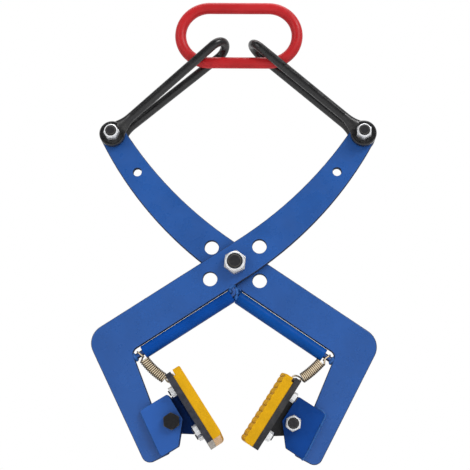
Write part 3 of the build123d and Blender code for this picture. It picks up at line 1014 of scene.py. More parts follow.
@dataclass(frozen=True)
class Elastomer(Finish):
    """Moulded elastomer, with painted shade browning its grooves and its ribbed face, browned at its seam and by
    grime, with a paler cut end.
    """

    # Brown of the painted shade in the grooves and on the ribbed face, of the seam, and of grime.
    grime_and_shade_brown: Colour
    cut: Colour
    back: float
    face: float
    depth: float
    end: Vector
    frame: Matrix
    shine: float = 0.14
    tones: Cloud = Cloud(12.0, 4.0, (0.35, 0.65))
    tone_ends: Span = (0.93, 1.05)
    smears: Cloud = Cloud(3.0, 4.0)
    smear: float = 0.3
    # Painted shade browns the grooves below the ribs' crests and, more faintly, the whole ribbed face.
    groove_painted_shade: Span = (0.3, 0.9)
    groove_painted_shade_share: float = 0.55
    outward: Span = (0.2, 0.5)
    face_painted_shade_share: float = 0.04
    outward_haze: float = 0.3
    seam: Span = (0.5, 1.1)
    seam_dark: Span = (0.6, 0.0)
    grime: Cloud = Cloud(1.6, 5.0, (0.60, 0.75), (0.0, 0.30))
    cut_turn: Span = (0.8, 0.95)
    blotches: Cloud = Cloud(2.4, 4.0, (0.40, 0.62))
    blotch_tone: float = 0.72
    haze: Cloud = Cloud(4.0, 4.0, ends=(0.50, 0.66))
    skin: Grain = Grain(0.9, 3.0, 0.02)

    def material(self) -> Material:
        """Mixes the elastomer, with painted shade browning it by depth below the ribs.

        Returns:
            Its material.
        """
        recipe = Recipe(self.name, Specular_IOR_Level=self.shine)
        place = recipe.place(self.frame)
        ends = (toned(self.colour, share) for share in self.tone_ends)
        colour = recipe.mix(recipe.cloud(place, self.tones), *ends)
        smear = recipe.times(recipe.noise(place, self.smears), self.smear * MM)
        height = recipe.sum("ADD", recipe.part(place, "X"), smear)
        valley, deep = (self.face - self.depth) * MM, self.depth * MM
        low, high = (valley + share * deep for share in self.groove_painted_shade)
        ahead = recipe.facing(self.frame.to_3x3() @ GRIPWARDS)
        outward = recipe.span(ahead, self.outward)
        groove_painted_shade = recipe.times(recipe.span(height, (low, high), FADING), outward)
        low, high = ((self.back + share) * MM for share in self.seam)
        # Browns laid in turn: painted shade on the ribbed face, painted shade in the grooves, the dark seam at the
        # plate, and grime.
        for brown in (
            recipe.times(outward, self.face_painted_shade_share),
            recipe.times(groove_painted_shade, self.groove_painted_shade_share),
            recipe.span(height, (low, high), self.seam_dark),
            recipe.cloud(place, self.grime),
        ):
            colour = recipe.mix(brown, colour, self.grime_and_shade_brown)
        blotch = recipe.cloud(place, self.blotches)
        cut = recipe.mix(blotch, self.cut, toned(self.cut, self.blotch_tone))
        colour = recipe.mix(recipe.span(recipe.facing(self.end), self.cut_turn), colour, cut)
        rough = recipe.cloud(place, self.haze)
        rough = recipe.sum("ADD", rough, recipe.times(outward, self.outward_haze))
        return recipe.finish(colour, rough, recipe.grain(place, self.skin))


@dataclass(frozen=True)
class HoseJacket(Finish):
    """Smooth hose with faint draw lines along it, and painted shade darkening its flanks."""

    frame: Matrix
    shine: float = 0.08
    gloss: float = 0.36
    tones: Cloud = Cloud(30.0, 3.0)
    tone_ends: Span = (0.88, 1.1)
    painted_flank_shade: Span = (0.1, 0.8)
    painted_flank_shade_ends: Span = (0.5, 0.0)
    painted_flank_shade_tone: float = 0.4
    lines: Cloud = Cloud(1.2, 2.0, ends=(-0.04, 0.09))
    line_depth: float = 0.004
    line_stretch: Triple = (1.0, 1.0, 0.03)

    def material(self) -> Material:
        """Mixes the jacket, drawn along the hose.

        Returns:
            Its material.
        """
        recipe = Recipe(self.name, Specular_IOR_Level=self.shine)
        place = recipe.place(self.frame)
        ends = (toned(self.colour, share) for share in self.tone_ends)
        colour = recipe.mix(recipe.cloud(place, self.tones), *ends)
        # Painted shade: the flanks, turned away from the front and back, are darkened.
        painted_flank_shade = recipe.span(recipe.flatness(), self.painted_flank_shade, self.painted_flank_shade_ends)
        colour = recipe.mix(painted_flank_shade, colour, toned(self.colour, self.painted_flank_shade_tone))
        lines = recipe.noise(recipe.stretched(place, self.line_stretch), self.lines)
        rough = recipe.span(lines, self.lines.band, self.lines.about(self.gloss).ends)
        return recipe.finish(colour, rough, recipe.bump(lines, self.line_depth))


@dataclass(frozen=True)
class Nylon(Finish):
    """Dark nylon of a lock nut's ring."""

    shine: float = 0.4
    tones: Cloud = Cloud(2.0, 4.0)
    tone_ends: Span = (0.8, 1.3)
    haze: Cloud = Cloud(1.0, 2.0, ends=(0.40, 0.58))
    skin: Grain = Grain(0.6, 2.0, 0.015)

    def material(self) -> Material:
        """Mixes the nylon.

        Returns:
            Its material.
        """
        recipe = Recipe(self.name, Specular_IOR_Level=self.shine)
        place = recipe.place()
        ends = (toned(self.colour, share) for share in self.tone_ends)
        colour = recipe.mix(recipe.cloud(place, self.tones), *ends)
        rough = recipe.cloud(place, self.haze)
        return recipe.finish(colour, rough, recipe.grain(place, self.skin))


@dataclass(frozen=True)
class Paper(Finish):
    """Matt paper of the studio's floor."""

    bright: Colour
    shine: float = 0.1
    tones: Cloud = Cloud(40.0, 3.0)

    def material(self) -> Material:
        """Mixes the paper.

        Returns:
            Its material.
        """
        recipe = Recipe(self.name, Specular_IOR_Level=self.shine)
        tone = recipe.cloud(recipe.place(), self.tones)
        return recipe.finish(recipe.mix(tone, self.colour, self.bright))


ROUGH_PEEL = Grain(2.2, 2.0, 0.02)
ARM_BLUE = Paint("arm_paint", (0.013, 0.085, 0.330))
# One blue cheek paint in two copies: lightened as painted light on the left jaw, darkened as painted shade on the
# right.
CHEEK_BLUE_PAINTED_LIGHT = Paint("cheek_paint_painted_light", (0.018, 0.100, 0.395), gloss=0.36, shine=0.3)
CHEEK_BLUE_PAINTED_SHADE = Paint(
    "cheek_paint_painted_shade", (0.004, 0.047, 0.235), gloss=0.26, drift=0.2, shine=0.1, peel=ROUGH_PEEL
)
# Weld paint: the arm blue lightened as a painted highlight on the beads.
WELD_BLUE_PAINTED_HIGHLIGHT = Paint(
    "weld_paint_painted_highlight", (0.018, 0.108, 0.37), 0.85, gloss=0.24, drift=0.2, shine=0.4, peel=ROUGH_PEEL
)
# Navy paint, darkened nearly to black as painted shade for the shade between the left pad and its cheek.
LUG_NAVY_PAINTED_SHADE = Paint("lug_navy_painted_shade", (0.002, 0.020, 0.110), gloss=0.34, shine=0.05)
LUG_GREY = Paint("lug_grey_paint", (0.016, 0.016, 0.018), gloss=0.40, shine=0.25)
RING_RED = BarPaint("ring_paint", (0.52, 0.012, 0.016), (0.43, 0.007, 0.010))
LINK_BLACK = Forging("link_coating", (0.010, 0.010, 0.011), (0.026, 0.026, 0.026))
ZINC = Plating("nut_zinc", (0.92, 0.93, 0.94), (0.70, 0.71, 0.73))
SPRING_GOLD = CoiledWire("coil_zinc", (0.82, 0.67, 0.46), (0.66, 0.53, 0.35), 0.36, 0.35)
NUT_NYLON = Nylon("nut_nylon", (0.020, 0.021, 0.027))
FLOOR_PAPER = Paper("floor_paper", (0.86, 0.86, 0.86), (0.88, 0.88, 0.88))
BOLT_BLACK: Colour = (0.020, 0.020, 0.023)
BOLT_WORN: Colour = (0.048, 0.047, 0.050)
GRIP_YELLOW: Colour = (0.69, 0.365, 0.003)
GRIP_BROWN: Colour = (0.25, 0.115, 0.003)
GRIP_CUT: Colour = (0.80, 0.52, 0.28)


@dataclass(frozen=True)
class Shades:
    """What differs in colour between the two jaws; the cheek paints are a lit and a shaded copy of one blue, and
    the left lug's navy is darkened as painted shade.
    """

    # Cheek paint: lightened on the left as painted light, darkened on the right as painted shade.
    cheek: Paint
    lug: Paint
    hose: Colour
    scale: Colour
    mottle: Colour
    bolt_tone: float


SHADES = {
    Side.LEFT: Shades(
        cheek=CHEEK_BLUE_PAINTED_LIGHT,
        lug=LUG_NAVY_PAINTED_SHADE,
        hose=(0.001, 0.056, 0.300),
        scale=(0.022, 0.024, 0.034),
        mottle=(0.042, 0.043, 0.056),
        bolt_tone=0.4,
    ),
    Side.RIGHT: Shades(
        cheek=CHEEK_BLUE_PAINTED_SHADE,
        lug=LUG_GREY,
        hose=(0.002, 0.068, 0.320),
        scale=(0.020, 0.020, 0.023),
        mottle=(0.040, 0.039, 0.042),
        bolt_tone=1.0,
    ),
}


# ---------------------------------------------------------------------------
# The clamp's pieces
# ---------------------------------------------------------------------------


def ride(piece: Object, body: str, slot: str, *nodes: str) -> Object:
    """Sets a finished piece on its body and hides the CAD nodes that it replaces.

    Args:
        piece: The finished piece.
        body: Body that it moves with.
        slot: Not used.
        *nodes: CAD nodes that it replaces.

    Returns:
        The same piece.
    """
    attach(piece, body)
    if nodes:
        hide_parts(*nodes)
    log.info("%s rides on %s", piece.name, body)
    return piece


def eased_node(
    node: str, width: float, slot: str, material: Material, segments: int = 2
) -> Object:
    """Shows a CAD node with its sharp edges eased.

    Args:
        node: Name of the CAD node.
        width: Width of the eased edges in millimetres.
        slot: Passed on to ride, which does not use it.
        material: Finish of the piece.
        segments: Steps of the eased edges.

    Returns:
        The piece that stands for the node.
    """
    piece = Bench.copy(frame["nodes"][node], f"{node}_eased", Matrix.Identity(4))
    Bench.take(piece)
    bpy.ops.mesh.customdata_custom_splitnormals_clear()
    with Bench.editing(piece):
        bpy.ops.mesh.remove_doubles(threshold=SEAM_NEAR * MM)
        bpy.ops.mesh.dissolve_limited(angle_limit=math.radians(FLAT_TURN))
    Bench.ease(piece, width, segments=segments)
    return ride(dress(piece, material), body_of(node), slot, node)


@dataclass
class Hanger:
    """The lifting ring and the two hairpin links that hang from it."""

    ring: str = "lifting_ring"
    links: tuple[str, str] = ("right_link", "left_link")

    def build(self) -> None:
        """Paints the ring and coats the links."""
        dress(frame["nodes"][self.ring], RING_RED.shared())
        for link in self.links:
            dress(frame["nodes"][link], LINK_BLACK.shared())
        log.info("ring and links finished")


@dataclass(frozen=True)
class Thread:
    """A size of bolt: its diameter and its nut's width across flats, in millimetres."""

    diameter: float
    across_flats: float


M10 = Thread(10.0, 15.3)
M14 = Thread(14.0, 22.0)


@dataclass
class Fastener:
    """A hinge bolt and its lock nut, with the nylon ring that shows round the bolt's end."""

    name: str
    thread: Thread
    ease: float = 0.35
    ring_proud: float = 0.35
    ring_depth: float = 1.4
    ring_share: float = 0.40
    ring_ease: float = 0.3
    ring_sides: int = 48
    play: float = 0.12
    collar_ratio: float = 0.475
    collar_share: float = 0.34
    tone: float = 1.0

    def build(self) -> None:
        """Eases the bolt and the nut and sets the nylon ring in the nut."""
        bolt, nut = f"{self.name}_bolt", f"{self.name}_nut"
        low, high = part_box(bolt)
        axis = Vector(((low.x + high.x) / 2, 0.0, (low.z + high.z) / 2))
        dark, worn = (toned(shade, self.tone) for shade in (BOLT_BLACK, BOLT_WORN))
        black = BlackSteel(f"{bolt}_oxide", dark, worn, axis)
        eased_node(bolt, self.ease, "black_bolt", black.material())
        seat, rim = (corner.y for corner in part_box(nut))
        if seat + rim < low.y + high.y:
            seat, rim = rim, seat
        collar_end = rim + (seat - rim) * self.collar_share
        zinc = NutPlating(
            f"{nut}_zinc", ZINC.colour, ZINC.stain, start=collar_end, inward=seat > rim
        )
        eased_node(nut, self.ease, "zinc", zinc.material())
        self.set_ring(axis, rim, seat - rim, nut)

    def set_ring(self, axis: Vector, rim: float, inward: float, nut: str) -> None:
        """Sets the nylon ring in the open end of the nut.

        Args:
            axis: A point on the bolt's axis, in metres.
            rim: Y of the nut's open end, in metres.
            inward: Way along Y from there into the nut.
            nut: Name of the nut's node.
        """
        inner = self.thread.diameter / 2 + self.play
        collar = self.thread.across_flats * self.collar_ratio
        outer = inner + (collar - inner) * self.ring_share
        name = f"{self.name}_nylon_ring"
        ring = Bench.tube(name, outer, inner, self.ring_depth, self.ring_ease, self.ring_sides)
        inset = (self.ring_depth / 2 - self.ring_proud) * MM
        spot = Vector((axis.x, rim + math.copysign(inset, inward), axis.z))
        Bench.place(ring, Matrix.Translation(spot) @ Matrix.Rotation(math.pi / 2, 4, "X"))
        ride(dress(ring, NUT_NYLON.shared()), body_of(nut), "black_bolt")


@dataclass
class Arms:
    """The two arm plates and the fasteners that they turn on."""

    pivot: Fastener
    link_pins: tuple[Fastener, Fastener]
    plate_ease: float = 1.4

    def build(self) -> None:
        """Paints the plates and builds the fasteners."""
        for plate in ("front_arm_plate", "back_arm_plate"):
            eased_node(plate, self.plate_ease, "arm_blue", ARM_BLUE.shared(), segments=3)
        dress(frame["nodes"]["pivot_washer"], ZINC.shared())
        for fastener in (self.pivot, *self.link_pins):
            fastener.build()


@dataclass
class WeldRun:
    """One weld bead: a path of overlapping lumps, in millimetres in the left half."""

    path: list[Vector]
    radius: float
    pitch: float = 2.1
    wander: float = 0.25
    swell: Span = (0.85, 1.15)

    def lumps(self, chance: random.Random) -> list[tuple[Vector, float]]:
        """The bead's lumps.

        Args:
            chance: Where the lumps' play comes from.

        Returns:
            The place and radius of each lump, in millimetres.
        """
        found = []
        for start, end in zip(self.path, self.path[1:]):
            steps = max(1, round((end - start).length / self.pitch))
            for step in range(steps):
                spot = start.lerp(end, (step + 0.5) / steps)
                shift = Vector(chance.uniform(-1.0, 1.0) for _ in range(3)) * self.wander
                found.append((spot + shift, self.radius * chance.uniform(*self.swell)))
        return found


class Welds:
    """Weld beads, run as lumps and melted into one skin.

    Attributes:
        voxel: Grid of the melted skin, in millimetres.
        lift: How far a bead's middle lies off the face that it runs on, in millimetres.
    """

    voxel: float = 0.55
    lift: float = 0.5

    @classmethod
    def run(cls, name: str, runs: list[WeldRun], frame_of: Matrix) -> Object:
        """Runs the beads of one place.

        Args:
            name: Name of the new piece.
            runs: The beads, in millimetres in the frame given.
            frame_of: Frame that the beads are told in.

        Returns:
            The beads as one piece.
        """
        chance = random.Random(name.split("_", 1)[1])
        ball = bpy.ops.mesh.primitive_ico_sphere_add
        drop = Bench.add(name, ball, subdivisions=2, radius=MM)
        lumps = [lump for one in runs for lump in one.lumps(chance)]
        pieces = []
        for index, (spot, radius) in enumerate(lumps):
            matrix = Matrix.Translation(spot * MM) @ Matrix.Scale(radius, 4)
            pieces.append(Bench.copy(drop, f"{name}_{index}", matrix))
        bpy.data.objects.remove(drop)
        bead = Bench.join(pieces)
        bead.name = bead.data.name = name
        skin = {"mode": "VOXEL", "voxel_size": cls.voxel * MM, "use_smooth_shade": True}
        Bench.modify(bead, "REMESH", **skin)
        Bench.modify(bead, "SMOOTH", factor=0.5, iterations=2)
        return Bench.place(bead, frame_of)


@dataclass
class Jaw:
    """One jaw: the cheeks on the leg, the guard rod with its hose, the bolt and the welds."""

    side: Side
    bead_points: int
    cheek_ease: float = 0.7
    hose_outer: float = 14.0
    hose_inner: float = 6.6
    hose_hang: float = 0.25
    hose_top: float = 22.3
    hose_end: float = 132.6
    hose_ease: float = 0.7
    hose_sides: int = 64
    rod_top: float = 17.0
    rod_foot: float = 142.6
    rod_bury: float = 0.3
    rod_bead: float = 1.9
    leg_face: float = 4.0
    inner_bead: float = 2.0
    outer_bead: float = 1.0
    outer_points: int = 5
    outer_pitch: float = 1.2
    outer_wander: float = 0.1
    # Points along a cheek's edge, X and Z in the jaw's frame.
    cheek_line: tuple[Span, ...] = (
        (-12.0, 27.0),
        (-20.5, 27.0),
        (-23.3, 25.3),
        (-24.2, 22.0),
        (-28.1, -19.5),
        (-28.4, -22.5),
        (-27.2, -25.8),
    )
    # Two points, each down and across the band, and the bead's radius.
    fill_lines: tuple[tuple[Span, Span, float], ...] = (
        ((20.3, -20.4), (20.8, -24.0), 2.5),
        ((14.2, -23.6), (16.4, -28.6), 2.6),
        ((18.2, -30.6), (20.8, -32.6), 2.2),
        ((143.6, -21.0), (144.6, -24.0), 2.4),
    )

    def build(self) -> None:
        """Builds and dresses the jaw's pieces."""
        shades = SHADES[self.side]
        for cheek in ("outer_cheek", "inner_cheek"):
            node = self.side.named(cheek)
            eased_node(node, self.cheek_ease, "cheek_blue", shades.cheek.shared())
        dress(frame["nodes"][self.side.named("guard_rod")], ARM_BLUE.shared())
        self.sleeve()
        Fastener(self.side.named("jaw"), M10, tone=shades.bolt_tone).build()
        self.weld_cheeks()
        self.weld_rod()

    def sleeve(self) -> None:
        """Cuts the hose and hangs it loosely on the guard rod."""
        name, length = self.side.named("hose"), self.hose_end - self.hose_top
        radii = (self.hose_outer / 2, self.hose_inner / 2)
        hose = Bench.tube(name, *radii, length, self.hose_ease, self.hose_sides)
        offset = -LAYOUT.rod_offset - self.hose_hang
        middle = LAYOUT.band_point((self.hose_top + self.hose_end) / 2, offset)
        lie = LAYOUT.along.to_track_quat("Z", "Y").to_matrix().to_4x4()
        spot = self.side.turn @ Matrix.Translation(middle) @ lie
        Bench.place(hose, spot)
        jacket = HoseJacket(self.side.named("hose_jacket"), SHADES[self.side].hose, spot)
        dress(hose, jacket.material())
        ride(hose, self.side.arm, "hose_blue", self.side.named("hose_sleeve"))

    def weld(self, place: str, runs: list[WeldRun], frame_of: Matrix) -> None:
        """Runs, paints and hangs the beads of one place, told in a frame."""
        bead = Welds.run(self.side.named(place), runs, frame_of)
        ride(dress(bead, WELD_BLUE_PAINTED_HIGHLIGHT.shared()), self.side.arm, "arm_blue")

    def weld_cheeks(self) -> None:
        """Runs the beads along the edges of the two cheeks."""
        face = self.leg_face + Welds.lift
        inner = [Vector((x, face, z)) for x, z in self.cheek_line[: self.bead_points]]
        outer = [Vector((x, -face, z)) for x, z in self.cheek_line[: self.outer_points]]
        runs = [
            WeldRun(inner, self.inner_bead),
            WeldRun(outer, self.outer_bead, self.outer_pitch, self.outer_wander),
        ]
        self.weld("cheek_welds", runs, self.side.turn @ LAYOUT.jaw_frame())

    def weld_rod(self) -> None:
        """Runs the beads round the guard rod's ends and fills the corners beside them."""
        top = LAYOUT.band_point(self.rod_top, self.rod_bury - LAYOUT.arm_width / 2)
        foot = LAYOUT.band_point(self.rod_foot, -LAYOUT.rod_offset)
        runs = [self.ring_run(top, LAYOUT.across), self.ring_run(foot, LAYOUT.along)]
        for *line, radius in self.fill_lines:
            runs.append(WeldRun([LAYOUT.band_point(*spot) / MM for spot in line], radius))
        self.weld("rod_welds", runs, self.side.turn)

    def ring_run(self, centre: Vector, axis: Vector, step: int = 36) -> WeldRun:
        """A bead all round the guard rod.

        Args:
            centre: Middle of the bead, in metres.
            axis: Direction of the rod there.
            step: Turn between two points of the bead, in degrees.

        Returns:
            The bead.
        """
        reach = LAYOUT.rod_diameter / 2 + Welds.lift
        other = axis.cross(SIDEWAYS)
        turns = [math.radians(angle) for angle in range(0, 360 + step, step)]
        spokes = [SIDEWAYS * math.cos(a) + other * math.sin(a) for a in turns]
        return WeldRun([centre / MM + spoke * reach for spoke in spokes], self.rod_bead)


@dataclass
class Pad:
    """One swivelling pad: lug, plates, nuts and ribbed grip block, in millimetres in its frame."""

    side: Side
    length: float = 84.0
    width: float = 50.0
    back: float = 25.3
    face: float = 36.6
    ribs: int = 11
    rib_pitch: float = 7.2
    rib_height: float = 0.8
    rib_skim: float = 0.02
    face_slack: float = 0.01
    block_ease: float = 0.5
    rim: float = 0.0
    top_slant: float = 0.0
    top_round: float = 1.8
    foot_round: float = 4.5
    notch_deep: float = 2.8
    notch_long: float = 6.5
    plate_ease: float = 0.4
    nut_ease: float = 0.35
    standoff: float = 18.8
    lug_half: float = 2.29
    lug_ease: float = 0.3
    lug_bead: float = 1.3
    lug_ends: Span = (-24.5, 23.0)

    def frame(self) -> Matrix:
        """The frame of the pad's plates on this side."""
        return self.side.turn @ LAYOUT.plate_frame(self.side)

    def end_way(self) -> Vector:
        """The direction that the pad's lower end faces."""
        return self.frame().to_3x3() @ -UPWARDS

    def build(self) -> None:
        """Builds and dresses the pad's pieces."""
        shades, name = SHADES[self.side], self.side.named("plate_scale")
        steel = PlateSteel(name, shades.scale, shades.mottle, self.end_way(), self.frame())
        scaled, painted = steel.material(), shades.lug.shared()
        for plate in ("pad_carrier", "pad_backing"):
            eased_node(self.side.named(plate), self.plate_ease, "dark_steel", scaled)
        eased_node(self.side.named("pad_lug"), self.lug_ease, "dark_steel", painted)
        self.weld_lug(painted)
        eased_node(self.side.named("pad_nuts"), self.nut_ease, "zinc", ZINC.shared())
        self.grip()

    def weld_lug(self, paint: Material) -> None:
        """Runs a bead along each face of the lug, at the carrier.

        Args:
            paint: The lug's paint.
        """
        x, y = self.standoff - Welds.lift, self.lug_half + Welds.lift
        lines = [[Vector((x, way, z)) for z in self.lug_ends] for way in (-y, y)]
        runs = [WeldRun(line, self.lug_bead) for line in lines]
        place = self.side.turn @ LAYOUT.lug_frame(self.side)
        bead = Welds.run(self.side.named("lug_welds"), runs, place)
        ride(dress(bead, paint), self.side.pad, "dark_steel")

    def bar(self) -> Object:
        """Saws the plain bar of the block, rounded at the top and the foot of its face.

        Returns:
            The bar, in the pad's frame.
        """
        thick = self.face - self.back
        bar = Bench.add(
            self.side.named("grip_block"),
            bpy.ops.mesh.primitive_cube_add,
            size=1.0,
            location=((self.back + thick / 2) * MM, 0.0, 0.0),
            scale=(thick * MM, self.width * MM, self.length * MM),
        )
        with Bench.editing(bar, "EDGE"):
            Bench.pick_edges(bar, lambda a, b: min(a.y, b.y, a.z, b.z) > 0.0)
            bpy.ops.transform.translate(value=(0.0, 0.0, -self.top_slant * MM))
        front = (self.face - self.face_slack) * MM
        for way, radius in ((1.0, self.top_round), (-1.0, self.foot_round)):
            with Bench.editing(bar, "EDGE"):
                Bench.pick_edges(
                    bar, lambda a, b: min(a.x, b.x) > front and min(a.z * way, b.z * way) > 0.0
                )
                bpy.ops.mesh.bevel(offset=radius * MM, segments=6, affect="EDGES")
        corners = {"limit_method": "ANGLE", "angle_limit": math.radians(50.0), "segments": 3}
        return Bench.modify(bar, "BEVEL", width=self.block_ease * MM, **corners)

    def grooves(self) -> Object:
        """Bends one rib's arc, repeats it up the face and thickens it to the space over the ribs.

        Returns:
            The cutter that leaves the ribs.
        """
        radius = (self.rib_pitch**2 / 4 + self.rib_height**2) / (2 * self.rib_height)
        near = self.rim - self.width / 2 if self.rim else -self.width
        crest = self.face - self.rib_skim
        lowest = (self.rib_pitch - self.length) / 2
        space = Bench.add(
            "groove_cutter",
            bpy.ops.mesh.primitive_circle_add,
            vertices=64,
            radius=radius * MM,
            fill_type="NOTHING",
            location=((crest - radius) * MM, near * MM, lowest * MM),
            rotation=(math.pi / 2, 0.0, 0.0),
        )
        with Bench.editing(space, "EDGE"):
            valley = ((crest - self.rib_height) * MM, 0.0, 0.0)
            bpy.ops.mesh.bisect(plane_co=valley, plane_no=GRIPWARDS, clear_inner=True)
        Bench.modify(
            space,
            "ARRAY",
            count=self.ribs,
            use_relative_offset=False,
            use_constant_offset=True,
            constant_offset_displace=(0.0, 0.0, self.rib_pitch * MM),
            use_merge_vertices=True,
            merge_threshold=0.1 * MM,
        )
        with Bench.editing(space, "EDGE"):
            bpy.ops.mesh.extrude_region_move(TRANSFORM_OT_translate={"value": (MM, 0.0, 0.0)})
            outside = ((self.face + self.rib_height) * MM, 0.0, 0.0)
            bpy.ops.transform.resize(value=(0.0, 1.0, 1.0), center_override=outside)
        with Bench.editing(space, "FACE"):
            deep = (0.0, 2.0 * self.width * MM, 0.0)
            bpy.ops.mesh.extrude_region_move(TRANSFORM_OT_translate={"value": deep})
        return Bench.close(space)

    def notched(self, block: Object) -> Object:
        """Cuts the notch for the spring's hook across the top of a block's back.

        Args:
            block: The ribbed block.

        Returns:
            The same block.
        """
        cutter = Bench.add(
            "notch_cutter",
            bpy.ops.mesh.primitive_cube_add,
            size=2.0,
            location=(self.back * MM, 0.0, self.length / 2 * MM),
            scale=(self.notch_deep * MM, self.width * MM, self.notch_long * MM),
        )
        return Bench.cut(block, cutter)

    def grip(self) -> None:
        """Moulds the grip block and sets it on its plate."""
        block = self.notched(Bench.cut(self.bar(), self.grooves()))
        Bench.smooth(Bench.close(block, near=0.005), angle=30.0)
        Bench.place(block, self.frame())
        finish = Elastomer(
            self.side.named("grip_elastomer"),
            GRIP_YELLOW,
            grime_and_shade_brown=GRIP_BROWN,
            cut=GRIP_CUT,
            back=self.back,
            face=self.face,
            depth=self.rib_height,
            end=self.end_way(),
            frame=self.frame(),
        )
        dress(block, finish.material())
        ride(block, self.side.pad, "yellow_grip", self.side.named("pad_grip"))


@dataclass
class Spring:
    """One extension spring, hooked over the guard rod and through the pad, in millimetres."""

    side: Side
    sag: float
    lean: float
    body_start: float
    top_shift: float = 0.0
    turns: float = 13.25
    wire: float = 0.95
    coil: float = 4.7
    hook_distance: float = 136.5
    hook_seat: float = 0.9
    hook_arc: Span = (-140.0, 90.0)
    shank: float = 1.2
    foot_hook: float = 5.0
    foot_radius: float = 4.6
    foot_arc: Span = (-90.0, 130.0)
    eye: Triple = (22.05, 0.0, 41.5)
    turn_points: int = 28

    def rod_point(self) -> Vector:
        """The rod's middle under the hook, in millimetres."""
        return LAYOUT.band_point(self.hook_distance, -LAYOUT.rod_offset) / MM

    def eye_point(self) -> Vector:
        """The pad's eye, in millimetres."""
        return (LAYOUT.plate_frame(self.side) @ (Vector(self.eye) * MM)) / MM

    @staticmethod
    def arc(
        centre: Vector, up: Vector, across: Vector, radius: float, ends: Span, step: float = 9.0
    ) -> list[Vector]:
        """Points on an arc.

        Args:
            centre: Middle of the arc.
            up: Direction of its crown.
            across: Direction of a quarter turn from its crown.
            radius: Its radius.
            ends: Where it starts and ends, in degrees from its crown.
            step: About how far apart the points are, in degrees.

        Returns:
            The points.
        """
        start, end = ends
        steps = max(2, round(abs(end - start) / step))
        angles = [math.radians(start + (end - start) * n / steps) for n in range(steps + 1)]
        return [centre + (up * math.cos(a) + across * math.sin(a)) * radius for a in angles]

    @staticmethod
    def bend(first: list[Vector], then: list[Vector], steps: int = 10) -> list[Vector]:
        """Points that lead smoothly from the end of one run to the start of the next.

        Args:
            first: Points of the first run.
            then: Points of the next run.
            steps: Steps of the bend.

        Returns:
            The points between them.
        """
        start, end = first[-1], then[0]
        reach = (end - start).length
        leave = (first[-1] - first[-2]).normalized() * reach
        arrive = (then[1] - then[0]).normalized() * reach
        found = []
        for step in range(1, steps):
            t = step / steps
            found.append(
                start * (2 * t**3 - 3 * t**2 + 1)
                + leave * (t**3 - 2 * t**2 + t)
                + end * (3 * t**2 - 2 * t**3)
                + arrive * (t**3 - t**2)
            )
        return found

    def lie(self) -> tuple[Vector, Vector, Vector, float]:
        """How the coil lies.

        Returns:
            Its first middle point, its way down, the way out of its bow, and its length.
        """
        rod, eye = self.rod_point(), self.eye_point()
        down = (eye - rod).normalized()
        start = rod + down * self.body_start
        length = (eye - start).dot(down) - self.foot_hook
        return start, down, down.cross(SIDEWAYS).normalized(), length

    def bow(self, t: float) -> float:
        """How far the coil's middle lies off its straight line, at a share of the way down."""
        return self.sag * 4.0 * t * (1.0 - t) + self.top_shift * (1.0 - t) + self.lean * t

    def middle(self, t: float) -> Vector:
        """The coil's middle at a share of the way down, in millimetres."""
        start, down, out, length = self.lie()
        return start + down * (length * t) - out * self.bow(t)

    def coil_line(self, nudge: float = 0.01) -> list[Vector]:
        """The wire's middle line round the coil, bowed and leant as it hangs.

        Args:
            nudge: Share of the way down over which the coil's direction is told.

        Returns:
            Points of the line, in millimetres.
        """
        down, out, length = self.lie()[1:]
        count = round(self.turns * self.turn_points)
        found = []
        for index in range(count + 1):
            t = index / count
            swerve = out * (self.bow(t + nudge) - self.bow(t)) / nudge
            run = (down * length - swerve).normalized()
            across = run.cross(SIDEWAYS).normalized()
            angle = math.pi + 2.0 * math.pi * self.turns * t
            spoke = across * math.cos(angle) + across.cross(run) * math.sin(angle)
            found.append(self.middle(t) + spoke * self.coil)
        return found

    def path(self) -> list[Vector]:
        """The wire's middle line from the rod's hook to the pad's.

        Returns:
            Points of the line, in millimetres.
        """
        down, out = self.lie()[1:3]
        crown = self.rod_point() + down * self.hook_seat
        top = self.arc(crown, -down, out.cross(down), self.coil, self.hook_arc)
        top.append(top[-1] + down * self.shank)
        coil = self.coil_line()
        axes = LAYOUT.plate_frame(self.side).to_3x3()
        ways = (-axes.col[2], -axes.col[0])
        foot = self.arc(self.eye_point(), *ways, self.foot_radius, self.foot_arc)
        return top + self.bend(top, coil) + coil + self.bend(coil, foot) + foot

    def mark_inside_for_painted_shade(self, wire: Object) -> None:
        """Marks how far each point of the coil looks inwards, from -1 to 1, and the hooks by -1, for the painted
        shade inside the coil.

        Args:
            wire: The wound wire.
        """
        mark = wire.data.attributes.new(SPRING_GOLD.mark, "FLOAT", "POINT")
        start, down, _, length = self.lie()
        home = self.side.turn.inverted()
        for vertex, value in zip(wire.data.vertices, mark.data):
            point = home @ vertex.co / MM
            t = (point - start).dot(down) / length
            inward = (self.coil - (point - self.middle(t)).length) / self.wire
            value.value = inward if 0.0 <= t <= 1.0 else -1.0

    def build(self) -> None:
        """Winds the spring and hangs it between the arm and the pad."""
        path = [self.side.turn @ (point * MM) for point in self.path()]
        wire = Bench.wire(self.side.named("spring_wire"), path, self.wire)
        self.mark_inside_for_painted_shade(wire)
        dress(wire, SPRING_GOLD.shared())
        self.side.pad
        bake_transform(wire)
        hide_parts(self.side.named("spring"))
        log.info("%s bends between %s and %s", wire.name, self.side.arm, self.side.pad)


# ---------------------------------------------------------------------------
# The studio
# ---------------------------------------------------------------------------


